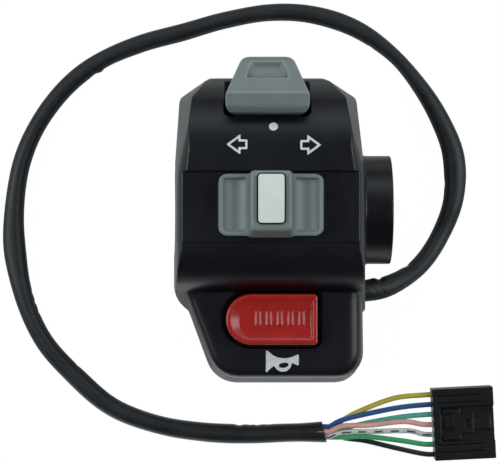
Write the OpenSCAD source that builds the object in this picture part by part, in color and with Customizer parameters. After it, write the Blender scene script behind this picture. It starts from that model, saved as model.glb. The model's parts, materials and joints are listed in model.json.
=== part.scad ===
// Handlebar switch cluster: a clamp housing in two halves with a dimmer rocker, a turn slider
// that carries a cancel button, a horn button, and a sleeved lead with a seven-way connector.
// The origin lies on the bar axis at mid width. X runs along the bar, Y to the top, Z to the front.

/* [Handlebar clamp] */
// Diameter of the handlebar that the clamp fits
bar_d = 22.2; // [19:0.1:24]
// Wall of the round collar
clamp_wall = 2.4; // [1.8:0.1:3]
// How far the collar stands out of the right-hand side
collar_len = 6.1; // [2:0.1:12]

/* [Housing] */
// Width of the housing at the split
body_w = 47.8; // [46:0.2:56]
// Reach of the housing above the bar axis
top_y = 32; // [31.6:0.2:36]
// Height of the switch panel above the bar axis
panel_z = 28; // [27:0.5:34]
// Step from the panel up to the crown
step_h = 1.2; // [0.5:0.1:2]
// Upper edge of the panel, where the step is
panel_top = 8.8; // [8.8:0.1:11]
// Lower edge of the panel, where the roll starts
panel_foot = 7.8; // [7.6:0.1:9]
// Radius of the roll at the top
crown_r = 19; // [17:0.5:20]
// Radius of the roll from the panel down to the horn platform
roll_r = 12; // [10:0.5:13]
// Wall of the moulded shells
wall = 2.2; // [1.6:0.1:2.6]
// Width of the rounded edges along the front
edge_w = 2.6; // [1.5:0.1:3]
// Height of the rounded edges along the front
edge_h = 6; // [3:0.5:8]
// Depth of the back land below the bar axis
back_z = 16; // [15.5:0.5:18]
// Radius of the round back
back_r = 17; // [16.5:0.5:19]
// Depth of the rear rim below the split
rim_h = 8; // [7:0.5:10]
// Gap between the two halves
split_gap = 0.25; // [0.1:0.05:0.4]

/* [Horn platform] */
// Reach of the platform below the bar axis
foot_y = 41.8; // [41:0.2:46]
// Fullness of the rear half towards the platform's end
rear_full = 2.1; // [0:0.1:2.5]

/* [Dimmer rocker] */
// Width of the rocker across its lip
rocker_w = 19.6; // [16:0.2:20]
// Width of the paddle at its end
paddle_w = 13.5; // [10:0.5:15]
// Place of the rocker's middle along the bar
rocker_x = -0.8; // [-1:0.1:1]
// Radius of the drum that turns in the housing
drum_r = 7.6; // [7:0.1:8]
// Swing of the rocker between its two places, in degrees
rocker_swing = 6; // [2:0.5:7]
// Diameter of the pivot pin
pivot_d = 2.5; // [2:0.1:3]

/* [Turn slider] */
// Width of the slider over both wings
slider_w = 24.9; // [22:0.1:26]
// Height of the slider across the bar
slider_h = 15; // [13:0.2:15]
// Height of the wings above the panel
wing_h = 5; // [4:0.1:6]
// Width of the raised middle block
block_w = 10.4; // [9.5:0.1:12]
// Height of the middle block above the panel
block_h = 8.8; // [7:0.1:10]
// Travel of the slider to each side
turn_travel = 4; // [2:0.1:4.4]

/* [Cancel button] */
// Width of the cancel button
cancel_w = 6; // [4.5:0.1:6.6]
// Length of the cancel button
cancel_h = 11.2; // [9:0.1:11.4]
// How far the cancel button stands out of the block
cancel_rise = 1.6; // [1:0.1:3]
// Travel of the cancel button
cancel_travel = 1.5; // [0.5:0.1:1.6]

/* [Horn button] */
// Length of the horn button along the bar
horn_w = 22.2; // [20:0.2:23]
// Height of the horn button across the bar
horn_h = 12.4; // [11:0.1:12.6]
// How far the horn button stands out of the platform
horn_rise = 5; // [3.5:0.1:6]
// Depth of the dish in the horn button
horn_dish = 0.9; // [0.4:0.1:1.2]
// Travel of the horn button
horn_travel = 2.5; // [1:0.1:2.8]

/* [Fasteners] */
// Diameter of the clamp screws
screw_d = 4; // [3:0.1:4.2]
// Diameter of the small base screws
base_screw_d = 2.2; // [1.6:0.1:2.4]

/* [Lead] */
// Diameter of the cable sleeve
sleeve_d = 4.7; // [4:0.1:5]
// Diameter of one wire
wire_d = 1.35; // [1:0.05:1.4]
// Pitch of the wires in the connector
pitch = 2.54; // [2.4:0.02:3]
// Length of the connector
plug_l = 15.6; // [13:0.1:18]
// Height of the connector
plug_h = 5.6; // [5:0.1:7]

/* [Clearances] */
// Gap round a part that slides or turns
gap = 0.3; // [0.2:0.05:0.4]
// Radial play of a pin in its bore
play = 0.05; // [0.02:0.01:0.1]

/* [Hidden] */
$fn = 48;
eps = 0.01;

// Colours of the mouldings and metals
black_plastic = [0.13, 0.14, 0.16];
grey_plastic = [0.47, 0.5, 0.51];
brown_board = [0.45, 0.3, 0.18];
brass = [0.8, 0.65, 0.35];
steel = [0.7, 0.72, 0.74];

// Housing
bar_r = bar_d / 2;
collar_r = bar_r + clamp_wall;
side_x = body_w / 2;
collar_x = side_x + collar_len;
crown_z = panel_z + step_h;
crown_c = [top_y - crown_r, crown_z - crown_r];
roll_step = 0.15;
roll_c = [-panel_foot, panel_z - roll_r - roll_step];
horn_z = panel_z - roll_r;
body_foot = panel_foot + roll_r + 5.7;
foot_lean = 0.4;
shoulder_y = 8;
corner_in = 1.7;
corner_drop = 4.8;
corner_lean = 4.6;
crest_in = 8.3;
draft = 1.5;
foot_r = 6.5;
tip_r = 1;
corner_r = 2;
crest_r = 2;
edge_turn = 60;
slice_t = 0.02;
cavity_in = 4.5;
cavity_x = side_x - cavity_in;
panel_in = panel_z - wall;
pocket_y = back_r + 0.6;

// Horn platform: the round corners of its plan, from the split to the front face
heel_r = [8.05, 6];
heel_c = [[-7.9, 8.05 - foot_y], [-7.9, 8.7 - foot_y]];
toe_r = [6.2, 4.2];
toe_c = [[side_x - 6.7, 6.25 - foot_y], [side_x - 8.4, 6.9 - foot_y]];
hip_c = [[-side_x + 2.6, -17], [-side_x + 4.6, -17]];
side_c = [[side_x - 2, -16], [side_x - 5.4, -16]];
hip_r = 1.2;

// Screw bosses
boss_r = screw_d / 2 + 2;
insert_r = screw_d / 2 + 0.6;
insert_h = 7;
boss_h = insert_h + 1.4;
head_r = screw_d / 2 + 1.4;
head_h = 2.8;
seat_z = -4.6;
boss_in = 8.4;
clamp_at = [
    [-side_x + boss_in, 19.6], [side_x - boss_in, 19.6],
    [-side_x + 6.7, -17.4], [side_x - 7.4, 7.8 - foot_y]
];

// Small screws and posts that carry the switch bases
base_t = 1.6;
post_r = base_screw_d / 2 + 1;
base_head_r = base_screw_d / 2 + 0.9;
base_head_h = 1.3;
base_bite = 4;
rivet_r = 1.1;
tail_r = 0.7;
tail_l = 2.4;
ball_r = 1.5;

// Dimmer rocker
pivot_depth = 3.2;
pivot_turn = 37.5;
pivot = crown_c + (crown_r - pivot_depth) * [cos(pivot_turn), sin(pivot_turn)];
pivot_r = pivot_d / 2;
pocket_r = drum_r + gap + 0.1;
drum_in = 2;
notch_side = gap + play;
cheek_t = 2.2;
bed_half = rocker_w / 2 - drum_in + notch_side;
cheek_w = rocker_w / 2 + notch_side + cheek_t - bed_half;
cheek_reach = [6, 4];
notch_depth = 3;
foot_round = 2.4;
lip = [-3.5, 8.8];
lip_face = [-3.2, 10.4];
lip_brow = [-1.9, 11.8];
crest = [1.3, 12.7];
paddle_end = [9.3, 9.2];
paddle_nose = [10.1, 8];
paddle_under = [9.8, 6.6];
paddle_root = [6, 5.8];
paddle_neck = [4.7, 3.6];
lip_foot = [-2.6, 7.6];
lip_gap = 0.3;
notch_r = 1.6;
drum_from = 100;
drum_to = 205;
pad_w = [10, 7.4];
pad_l = [3.9, 8.2];
pad_d = 1;
pad_slope = 0.9;
hub_r = pivot_r + 1.6;
arm_w = 6;
arm_t = 4.4;
arm_l = 9.6;
arm_y = pivot[0] - 0.5;
arm_z = pivot[1] - arm_l;
strip_t = 0.8;
dimmer_base_z = arm_z - ball_r;
dimmer_ball_y = arm_y - 0.7;
dimmer_strip_y = arm_y + 1.4;
dimmer_strip_l = 15;
dimmer_rivets = [-6, 0, 6];
dimmer_post_x = side_x - boss_in - boss_r - base_head_r - abs(rocker_x) - 0.5;
dimmer_post_y = collar_r + 2.1;

// Turn slider and the carriage under the panel
slider_y = (panel_top - panel_foot) / 2 + 0.2;
slider_z = panel_z + gap;
wing_z = panel_z + wing_h;
block_z = panel_z + block_h;
slider_r = 2.4;
slider_foot = slider_y - slider_h / 2;
slider_head = slider_y + slider_h / 2;
wing_in = [0.4, 0.2];
wing_foot = slider_foot + wing_in[0];
wing_head = slider_head - wing_in[1];
wing_rim = 1.1;
wing_lean = 0.4;
scoop_r = 4.2;
scoop_d = 1.3;
scoop_half = sqrt(2 * scoop_r * scoop_d - scoop_d * scoop_d);
scoop_x = slider_w / 2 - wing_rim - scoop_half;
scoop_end = 1;
block_r = 0.9;
block_lean = 1.6;
block_hang = 0.5;
block_edge = 0.4;
rod_r = 1.3;
stem_w = 6.4;
stem_h = 4.8;
carriage_w = 15;
carriage_d = 14;
carriage_h = 8;
carriage_top = panel_in - gap;
carriage_z = carriage_top - carriage_h;
bridge_t = 0.9;
bridge_w = 13;
bridge_y = [-6.2, 1.9];
turn_base_z = carriage_z - bridge_t - gap;
stem_z = carriage_z + 2;
turn_ball_y = slider_y + 4.8;
turn_ball_z = turn_base_z + gap + ball_r;
detent_top = carriage_top - 1;
turn_post_x = carriage_w / 2 + turn_travel + post_r + gap + 0.4;
turn_post_y = 7.4;
turn_rivets = [-2 * turn_travel, 0, 2 * turn_travel];
turn_rivet_y = slider_y - 3.8;

// Cancel button in the slider's block
cancel_top = block_z + cancel_rise;
cancel_y = slider_y + 1.5;
cancel_seat = cancel_top - 4.6;
well_z = slider_z + 0.9;
rod_end = carriage_z + cancel_travel;
cancel_coil_r = 1.9;
cancel_r = 0.7;

// Horn button
horn_x = 0.3;
horn_y = -panel_foot - roll_r - gap - 0.05 - horn_h / 2;
horn_top = horn_z + horn_rise;
horn_taper = 0.15;
horn_edge = 0.3;
horn_rim = 1.1;
dish_r = 17;
dish_slope = 1.3;
dish_shift = 0.8;
horn_corner = 1;
horn_gap = 0.9;
horn_in = horn_z - wall;
flange_t = 2.2;
flange_out = horn_gap + 0.5;
flange_z = horn_in - gap - flange_t;
horn_drop = 5.5;
horn_base_z = flange_z - horn_travel - horn_drop;
well_r = 3.6;
horn_cap = 4;
horn_well_z = horn_top - horn_cap;
leg_x = 7.5;
leg_r = 1.2;
horn_strip_z = horn_base_z + horn_travel + gap + strip_t;
horn_strip_w = 5;
horn_coil_r = 2.4;
spigot_h = 3;
horn_left = horn_x - horn_w / 2 + horn_h / 2;
keep_r = horn_h / 2 + flange_out + post_r + gap;
left_in = 13;
left_x = left_in - side_x;
left_post = [left_x, horn_y + sqrt(max(keep_r * keep_r - pow(left_x - horn_left, 2), 0))];
right_post = [8.2, 13.9];
heel_post = [-9.6, 6.6];
horn_posts = [
    left_post, [side_x - right_post[0], right_post[1] - foot_y], [heel_post[0], heel_post[1] - foot_y]
];
rib_n = 5;
rib_w = 1;
rib_pitch = 2.6;
rib_at = [1.9, 0.2];
rib_l = 3.3;
rib_h = 0.3;

// Lead
sleeve_r = sleeve_d / 2;
exit_y = -20.2;
exit_z = -split_gap - sleeve_r;
clamp_x = side_x - 7.6;
clamp_w = 3.4;
clamp_reach = sleeve_r + 1.7;
clamp_foot = clamp_reach + 1.4;
clamp_top = 0.7;
grip_screw_r = 1;
grip_head_r = grip_screw_r + 0.7;
grommet_r = sleeve_r + 0.9;
floor_z = -back_z;
lie_z = floor_z + sleeve_r + 0.05;

// Route of the sleeve from the cable clamp to its open end, hand placed
sleeve_path = [
    [14, exit_y, exit_z], [24.5, exit_y, exit_z], [31.5, -18.5, -5.2], [38.5, -14, -10],
    [44, -6.5, lie_z], [47.5, 3, lie_z], [47.5, 14, lie_z], [44, 23.5, lie_z],
    [38.5, 32.5, lie_z], [31.5, 40.5, lie_z], [22, 47, lie_z], [11, 50.5, lie_z],
    [0, 51, lie_z], [-11.5, 49, lie_z], [-22, 46, lie_z], [-33, 43, lie_z],
    [-43.5, 38.5, lie_z], [-52, 32, lie_z], [-59, 23, lie_z], [-63.5, 13, lie_z],
    [-65.5, 1.5, lie_z], [-65.5, -10, lie_z], [-63, -22.5, lie_z], [-58, -33.5, lie_z],
    [-50, -42.5, lie_z], [-40.5, -50.5, lie_z], [-29, -55, lie_z], [-17, -57, lie_z],
    [-5.5, -57.5, lie_z], [5, -57.2, lie_z], [14.5, -57, lie_z]
];
sleeve_end = sleeve_path[len(sleeve_path) - 1];

// Connector: its middle on the floor and its turn about Z
plug_at = [49.9, -54.6, floor_z];
plug_turn = 2.8;
plug_wall = 0.4;
plug_w = 7 * pitch + 2 * plug_wall - 0.3;
latch_d = 1.1;
latch_low = 0.15;
latch_bar = [-2.7, -1];
latch_half = 3.9;
latch_arm = 2.8;
latch_t = 1.1;
tongue_l = 2.1;
tongue_w = 1.8;
plate_l = 3.3;
plate_w = 4.7;
groove_y = [5.4, 7.2];
groove_w = 0.4;
groove_d = 0.25;
way_w = 1.9;
way_z = plug_h / 2 - 0.1;
wire_bite = 3;

// Wires: the angle at which each lies in the bundle, the third in its middle, and hand-placed points
// of its fan, each with its height above the floor
ring_r = wire_d + 0.16;
lead_out = 1;
bundle = [-40, 20, undef, 80, 140, 200, 260];
fan = [
    [[18.5, -54.4, 1.2], [23, -51.9, 1.6], [32, -48.4, 2.2]],
    [[18.5, -54, 3], [24, -52.6, 2.6], [33, -50.8, 2.4]],
    [[19.5, -56.1, 1.5], [26.5, -54.6, 1], [34, -53.2, 1.9]],
    [[19, -55.3, 4.2], [26, -55.2, 2.9], [34.5, -54.2, 3.6]],
    [[19, -57, 3.5], [28, -56.8, 2.8], [36, -56.7, 2.6]],
    [[19, -58.3, 2.7], [25, -58.2, 2.2], [34.5, -59.3, 2.4]],
    [[19.5, -58.7, 1], [25, -59.5, 0.8], [33, -61.3, 1.6]]
];

function lerp(a, b, k) = a + (b - a) * k;
function unit(v) = v / norm(v);
function plug_point(p) = [
    plug_at[0] + p[0] * cos(plug_turn) - p[1] * sin(plug_turn),
    plug_at[1] + p[0] * sin(plug_turn) + p[1] * cos(plug_turn),
    plug_at[2] + p[2]
];
function way_y(i) = (3 - i) * pitch;

// Points of a smooth curve through a list, with steps points on each stretch
function curve_at(p, i, t) =
    let (
        n = len(p),
        a = p[max(i - 1, 0)],
        b = p[i],
        c = p[min(i + 1, n - 1)],
        d = p[min(i + 2, n - 1)]
    )
    0.5 * (2 * b + (c - a) * t + (2 * a - 5 * b + 4 * c - d) * t * t
        + (3 * b - a - 3 * c + d) * t * t * t);
function curve(p, steps) = concat(
    [for (i = [0 : len(p) - 2]) for (s = [0 : steps - 1]) curve_at(p, i, s / steps)],
    [p[len(p) - 1]]
);

function bundle_at(turn) = is_undef(turn) ? [0, 0, 0] : ring_r * [0, cos(turn), sin(turn)];
function wire_path(i) = curve(concat(
    [for (x = [0, lead_out]) sleeve_end + bundle_at(bundle[i]) + [x, 0, 0]],
    [for (p = fan[i]) p + [0, 0, floor_z]],
    [for (x = [-2, wire_bite]) plug_point([x - plug_l / 2, way_y(i), way_z])]
), 2);

function tangent(p, i) = unit(p[min(i + 1, len(p) - 1)] - p[max(i - 1, 0)]);
function ring(p, i, r, sides) =
    let (
        t = tangent(p, i),
        across = unit(cross(t, [0, 0, 1])),
        up = cross(across, t)
    )
    [for (k = [0 : sides - 1]) p[i] + r * (cos(360 * k / sides) * across + sin(360 * k / sides) * up)];

// Round tube along a list of points, closed by a flat cap at each end
module tube(p, r, sides) {
    n = len(p);
    points = [for (i = [0 : n - 1]) each ring(p, i, r, sides)];
    skin = [
        for (i = [0 : n - 2]) for (k = [0 : sides - 1])
            let (a = i * sides + k, b = i * sides + (k + 1) % sides)
            each [[a, a + sides, b], [b, a + sides, b + sides]]
    ];
    cap_a = [for (k = [1 : sides - 2]) [0, k, k + 1]];
    last = (n - 1) * sides;
    cap_b = [for (k = [1 : sides - 2]) [last, last + k + 1, last + k]];
    polyhedron(points = points, faces = concat(skin, cap_a, cap_b), convexity = 6);
}

// Coil spring standing on z0, with the middle of its wire on radius r
module coil(at, r, z0, z1, turns, wire_r) {
    steps = 8 * turns;
    rise = (z1 - z0 - 2 * wire_r) / steps;
    tube(
        [for (k = [0 : steps])
            [at[0] + r * cos(45 * k), at[1] + r * sin(45 * k), z0 + wire_r + rise * k]],
        wire_r, 6
    );
}

module along_x(x0, x1) {
    translate([x0, 0, 0])
        rotate([90, 0, 90])
            linear_extrude(x1 - x0) children();
}

module rod_x(x0, x1, y, z, r) {
    translate([x0, y, z])
        rotate([0, 90, 0])
            cylinder(h = x1 - x0, r = r);
}

module rod_z(at, z0, z1, r) {
    translate([at[0], at[1], z0])
        cylinder(h = z1 - z0, r = r);
}

module block(x, y, z) {
    translate([x[0], y[0], z[0]])
        cube([x[1] - x[0], y[1] - y[0], z[1] - z[0]]);
}

module dot(x, y, r) {
    translate([x, y]) circle(r = r, $fn = 32);
}

// Rectangle between two pairs of limits, with round corners
module round_rect(x, y, r) {
    for (a = [x[0] + r, x[1] - r]) for (b = [y[0] + r, y[1] - r])
        dot(a, b, r);
    translate([x[0] + r, y[0]]) square([x[1] - x[0] - 2 * r, y[1] - y[0]]);
    translate([x[0], y[0] + r]) square([x[1] - x[0], y[1] - y[0] - 2 * r]);
}

// One level of the main body's plan, where w is its half width there
module body_slice(z, w, shift) {
    lean = corner_lean * max(z, 0) / crown_z;
    translate([0, shift, z]) linear_extrude(slice_t) {
        dot(-w + foot_r, -body_foot + foot_r, foot_r);
        dot(w - tip_r, -body_foot + tip_r, tip_r);
        for (s = [-1, 1]) {
            dot(s * (w - tip_r), shoulder_y, tip_r);
            dot(rocker_x / 2 + s * (side_x - corner_in - corner_r - lean),
                top_y - corner_drop - lean / 3 - (corner_r - tip_r) / 2, corner_r);
            dot(rocker_x + s * (side_x - crest_in - crest_r - lean), top_y + tip_r - crest_r, crest_r);
        }
    }
}

// One level of the horn platform's plan, k = 0 at the split and 1 at its front face
module horn_slice(z, k, shift) {
    at_heel = lerp(heel_c[0], heel_c[1], k);
    at_toe = lerp(toe_c[0], toe_c[1], k);
    at_hip = lerp(hip_c[0], hip_c[1], k);
    at_side = lerp(side_c[0], side_c[1], k);
    translate([shift[0], shift[1], z]) linear_extrude(slice_t) {
        dot(at_heel[0], at_heel[1], lerp(heel_r[0], heel_r[1], k));
        dot(at_toe[0], at_toe[1], lerp(toe_r[0], toe_r[1], k));
        dot(at_hip[0], at_hip[1], hip_r);
        dot(at_side[0], at_side[1], hip_r);
    }
}

// Side view of the main body, Y against Z, from the split to the front
module body_profile() {
    difference() {
        polygon([
            [top_y + foot_lean, 0], [top_y, crown_c[1]], [top_y, crown_z], [panel_top, crown_z],
            [panel_top, panel_z], [roll_c[0] - roll_r, panel_z], [roll_c[0] - roll_r, horn_z],
            [-body_foot, 0]
        ]);
        difference() {
            translate(crown_c) square([crown_r + 1, crown_r + 1]);
            translate(crown_c) circle(r = crown_r);
        }
        difference() {
            translate(roll_c - [roll_r + 1, 0]) square([roll_r + 1, roll_r + 1]);
            translate(roll_c) circle(r = roll_r);
        }
    }
}

// The hollow behind that side view, one wall inside it
module cavity_profile() {
    difference() {
        polygon([
            [top_y - wall, -1], [top_y - wall, crown_z - wall], [panel_top + wall, crown_z - wall],
            [panel_top + wall, panel_in], [roll_c[0] - roll_r + wall, panel_in],
            [roll_c[0] - roll_r + wall, horn_z], [wall - body_foot + 0.6, 0], [wall - body_foot + 0.6, -1]
        ]);
        difference() {
            translate(crown_c) square([crown_r, crown_r]);
            translate(crown_c) circle(r = crown_r - wall);
        }
        difference() {
            translate(roll_c - [roll_r, 0]) square([roll_r, roll_r]);
            translate(roll_c) circle(r = roll_r - wall);
        }
    }
}

// Plan of the hollows, inside the tapering side walls
module cavity_plan() {
    polygon([
        [-cavity_x, -body_foot + foot_r], [-cavity_x + foot_r / 2, -body_foot + wall],
        [cavity_x, -body_foot + wall], [cavity_x, shoulder_y], [side_x - crest_in - 1, 24],
        [side_x - crest_in - 4, top_y], [4 + crest_in - side_x, top_y],
        [1 + crest_in - side_x, 24], [-cavity_x, shoulder_y]
    ]);
}

// The same for the platform, shrunk by d where a plate has to fit in it
module horn_plan(d) {
    heel = heel_r[1] - 1.2 - d;
    polygon([
        [-cavity_x + 1.5 + d, -14], [-cavity_x + 2.6 + d, -21], heel_c[1] + heel * [-0.94, -0.34],
        heel_c[1] - [0, heel], [cavity_x - 3, 4 - foot_y + d], [cavity_x - d, 7 - foot_y + d],
        [cavity_x - d, -14]
    ]);
    translate(heel_c[1]) circle(r = heel);
}

module body_shape() {
    intersection() {
        hull() {
            body_slice(0, side_x, 0);
            for (t = [0, 20, 35, 50, edge_turn])
                body_slice(
                    crown_z - edge_h * (1 - sin(t) / sin(edge_turn)),
                    side_x - draft - edge_w * (1 - cos(t)) / (1 - cos(edge_turn)),
                    0
                );
        }
        along_x(-body_w, body_w) body_profile();
    }
}

module horn_shape() {
    rise = min(edge_h, horn_z) / 2;
    hull() {
        horn_slice(0, 0, [0, 0]);
        for (t = [0, 30, 60, 90])
            horn_slice(horn_z - slice_t - rise * (1 - sin(t)), 0.3 + 0.7 * (1 - cos(t)), [0, 0]);
    }
}

// Plan of the horn button grown by d: a round left end and a right end with small corners
module horn_outline(d) {
    end_r = horn_h / 2 + d;
    length = horn_w - horn_h / 2 + d;
    r = max(horn_corner + d, horn_edge);
    translate([horn_left, horn_y]) {
        circle(r = end_r);
        translate([0, -end_r]) square([length - r, 2 * end_r]);
        translate([0, r - end_r]) square([length, 2 * (end_r - r)]);
        for (s = [-1, 1])
            translate([length - r, s * (end_r - r)]) circle(r = r);
    }
}

// Everything that stays standing in the hollow of the front half
module front_inside() {
    for (p = clamp_at)
        rod_z(p, 0, boss_h, boss_r);
    for (s = [-1, 1]) {
        for (t = [-1, 1])
            rod_z([s * turn_post_x, t * turn_post_y], turn_base_z, panel_z, post_r);
        rod_z([rocker_x + s * dimmer_post_x, dimmer_post_y], dimmer_base_z, crown_z, post_r);
        translate([rocker_x + s * (bed_half + cheek_w / 2), 0, 0])
            block([-cheek_w / 2, cheek_w / 2], [pivot[0] - cheek_reach[0], top_y],
                [pivot[1] - cheek_reach[1], crown_z]);
    }
    for (p = horn_posts)
        rod_z(p, horn_base_z, horn_z, post_r);
}

// Opening for the rocker: round lower corners in front of a bed for the drum
module notch_plan() {
    half = rocker_w / 2 + notch_side;
    foot = pivot[0] + lip[0] - lip_gap;
    for (s = [-1, 1])
        translate([s * (half - notch_r), foot + notch_r]) circle(r = notch_r);
    translate([notch_r - half, foot]) square([2 * (half - notch_r), top_y]);
    translate([-half, foot + notch_r]) square([2 * half, top_y]);
}

module rocker_notch() {
    reach = rocker_w / 2 + notch_side + cheek_t - 0.4;
    rod_x(rocker_x - bed_half, rocker_x + bed_half, pivot[0], pivot[1], pocket_r);
    translate([rocker_x, 0, pivot[1] - notch_depth]) linear_extrude(crown_z) notch_plan();
    rod_x(rocker_x - reach, rocker_x + reach, pivot[0], pivot[1], pivot_r + play / 2);
}

module front_housing() {
    color(black_plastic) difference() {
        union() {
            body_shape();
            horn_shape();
            intersection() {
                rod_x(0, collar_x, 0, 0, collar_r);
                block([cavity_x, collar_x], [-collar_r, collar_r], [0, collar_r]);
            }
        }
        difference() {
            union() {
                intersection() {
                    along_x(-cavity_x, cavity_x) cavity_profile();
                    translate([0, 0, -1]) linear_extrude(crown_z) cavity_plan();
                }
                translate([0, 0, -1]) linear_extrude(horn_in + 1) horn_plan(0);
            }
            front_inside();
        }
        rod_x(-side_x - 1, collar_x + 1, 0, 0, bar_r);
        rocker_notch();
        block(
            [-stem_w / 2 - turn_travel - gap, stem_w / 2 + turn_travel + gap],
            [slider_y - stem_h / 2 - gap, slider_y + stem_h / 2 + gap], [panel_in - 1, panel_z + 1]
        );
        translate([0, 0, horn_in - 1]) linear_extrude(wall + 2) horn_outline(horn_gap);
        for (p = clamp_at)
            rod_z(p, -1, insert_h + 0.6, insert_r + play / 2);
        for (s = [-1, 1]) {
            for (t = [-1, 1])
                rod_z([s * turn_post_x, t * turn_post_y], turn_base_z - 1, turn_base_z + base_bite + 1,
                    base_screw_d / 2 + play / 2);
            rod_z([rocker_x + s * dimmer_post_x, dimmer_post_y], dimmer_base_z - 1,
                dimmer_base_z + base_bite + 1, base_screw_d / 2 + play / 2);
        }
        for (p = horn_posts)
            rod_z(p, horn_base_z - 1, horn_base_z + base_bite + 1, base_screw_d / 2 + play / 2);
    }
}

module back_profile() {
    round_r = 3;
    half = side_x - 1.2;
    translate([0, -half]) square([back_r - round_r, 2 * half]);
    translate([0, round_r - half]) square([back_r, 2 * (half - round_r)]);
    for (s = [-1, 1])
        translate([back_r - round_r, s * (half - round_r)]) circle(r = round_r);
}

module rear_shape() {
    intersection() {
        union() {
            hull() {
                body_slice(0, side_x, 0);
                body_slice(-rim_h * 0.5, side_x - 0.4, -rear_full * 0.4);
                body_slice(-rim_h * 0.8, side_x - 1.6, -rear_full * 0.3);
                body_slice(-rim_h + 0.5, side_x - 3.2, -rear_full * 0.1);
            }
            hull() {
                horn_slice(slice_t, 0, [0, 0]);
                horn_slice(-rim_h * 0.55, 0.1, [-rear_full / 5, -rear_full]);
                horn_slice(-rim_h * 0.85, 0.5, [-rear_full / 5, -rear_full * 0.8]);
                horn_slice(-rim_h, 1, [0, -rear_full * 0.5]);
            }
            rotate([0, 90, 0]) rotate_extrude() intersection() {
                back_profile();
                translate([0, -body_w]) square([2 * back_r, 2 * body_w]);
            }
            rod_x(0, collar_x, 0, 0, collar_r);
        }
        block([-body_w, body_w], [-2 * foot_y, 2 * foot_y], [-back_z, -split_gap]);
    }
}

// Plan of the two pockets in the rear half, above and below the bar
module rear_plan() {
    polygon([
        [-cavity_x, pocket_y], [cavity_x, pocket_y], [side_x - crest_in - 1, top_y - 5.5],
        [side_x - crest_in - 3, top_y - 3], [3 + crest_in - side_x, top_y - 3],
        [1 + crest_in - side_x, top_y - 5.5]
    ]);
    polygon([
        [-cavity_x + 1.5, -pocket_y], [-cavity_x + 2.6, -21], [-11.6, 7.5 - foot_y],
        [-8, 4.6 - foot_y], [cavity_x - 3, 4.6 - foot_y], [cavity_x, 7 - foot_y],
        [cavity_x, -pocket_y]
    ]);
}

module exit_shape(r, x0, x1, top) {
    rod_x(x0, x1, exit_y, exit_z, r);
    block([x0, x1], [exit_y - r, exit_y + r], [exit_z, top]);
}

module rear_housing() {
    pocket_z = -rim_h + wall;
    color(black_plastic) difference() {
        rear_shape();
        difference() {
            translate([0, 0, pocket_z]) linear_extrude(rim_h) rear_plan();
            for (p = clamp_at)
                rod_z(p, pocket_z, 0, head_r + 1.4);
            block([clamp_x - clamp_w / 2, clamp_x + clamp_w / 2],
                [exit_y - clamp_foot, exit_y + clamp_foot], [pocket_z, exit_z]);
        }
        rod_x(-side_x - 1, collar_x + 1, 0, 0, bar_r);
        for (p = clamp_at) {
            rod_z(p, -back_z, 1, screw_d / 2 + gap / 2);
            rod_z(p, -back_z - 1, seat_z, head_r + gap);
        }
        exit_shape(grommet_r + play, cavity_x - 1.2, side_x + 1, 1);
        rod_x(clamp_x - clamp_w, clamp_x + clamp_w, exit_y, exit_z, sleeve_r + play);
        for (s = [-1, 1])
            rod_z([clamp_x, exit_y + s * clamp_reach], exit_z - 3, 1, grip_screw_r + play / 2);
    }
}

// Screw with its head below z0 and a six-sided or cross recess
module socket_screw(at, z0, z1, r) {
    difference() {
        union() {
            rod_z(at, z0 - eps, z1, r);
            rod_z(at, z0 - head_h, z0, head_r);
        }
        translate([at[0], at[1], z0 - head_h - 1]) cylinder(h = 2.8, r = r * 0.85, $fn = 6);
    }
}

module cross_screw(at, z0, z1, r, cap_r, cap_h) {
    slot_w = r * 0.5;
    difference() {
        union() {
            rod_z(at, z0 - eps, z1, r);
            rod_z(at, z0 - cap_h, z0, cap_r);
        }
        for (turn = [0, 90])
            translate([at[0], at[1], z0 - cap_h]) rotate(turn)
                block([-r, r], [-slot_w / 2, slot_w / 2], [-1, cap_h / 2]);
    }
}

module clamp_screws() {
    color(steel)
        for (p = clamp_at)
            socket_screw(p, seat_z, insert_h - 0.6, screw_d / 2);
}

module clamp_inserts() {
    color(brass)
        for (p = clamp_at)
            difference() {
                rod_z(p, 0.2, insert_h, insert_r);
                rod_z(p, -1, insert_h + 1, screw_d / 2 + play / 2);
            }
}

// Rocker: a drum in the housing, a lip and a paddle outside it, and an arm that reaches the base
module drum_profile() {
    wedge = 2 * drum_r;
    intersection() {
        circle(r = drum_r);
        polygon([
            [0, 0], wedge * [cos(drum_from), sin(drum_from)], wedge * [cos(150), sin(150)],
            wedge * [cos(drum_to), sin(drum_to)]
        ]);
    }
    circle(r = hub_r);
}

module paddle_profile() {
    polygon([
        [-1, 2], lip_foot, lip, lip_face, lip_brow, crest, paddle_end, paddle_nose, paddle_under,
        paddle_root, paddle_neck, [hub_r - 0.4, 0.6]
    ]);
}

module rocker_plan() {
    half = rocker_w / 2;
    end = paddle_w / 2;
    end_round = 2.6;
    y = [pivot[0] + lip[0], pivot[0] + crest[0] - 0.4, pivot[0] + paddle_nose[0]];
    hull() for (s = [-1, 1]) {
        translate([s * (half - foot_round), y[0] + foot_round]) circle(r = foot_round, $fn = 32);
        translate([s * (half - 0.3), y[1]]) circle(r = 0.3, $fn = 32);
        translate([s * (end - end_round), y[2] - end_round]) circle(r = end_round, $fn = 32);
    }
}

// Thumb pad on the paddle, shrunk by d, with Y down the paddle from its crest
module pad_plan(d) {
    polygon([
        [d - pad_w[0] / 2, pad_l[0] + d / 2], [pad_w[0] / 2 - d, pad_l[0] + d / 2],
        [pad_w[1] / 2 - d, pad_l[1] - d], [d - pad_w[1] / 2, pad_l[1] - d]
    ]);
}

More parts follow.
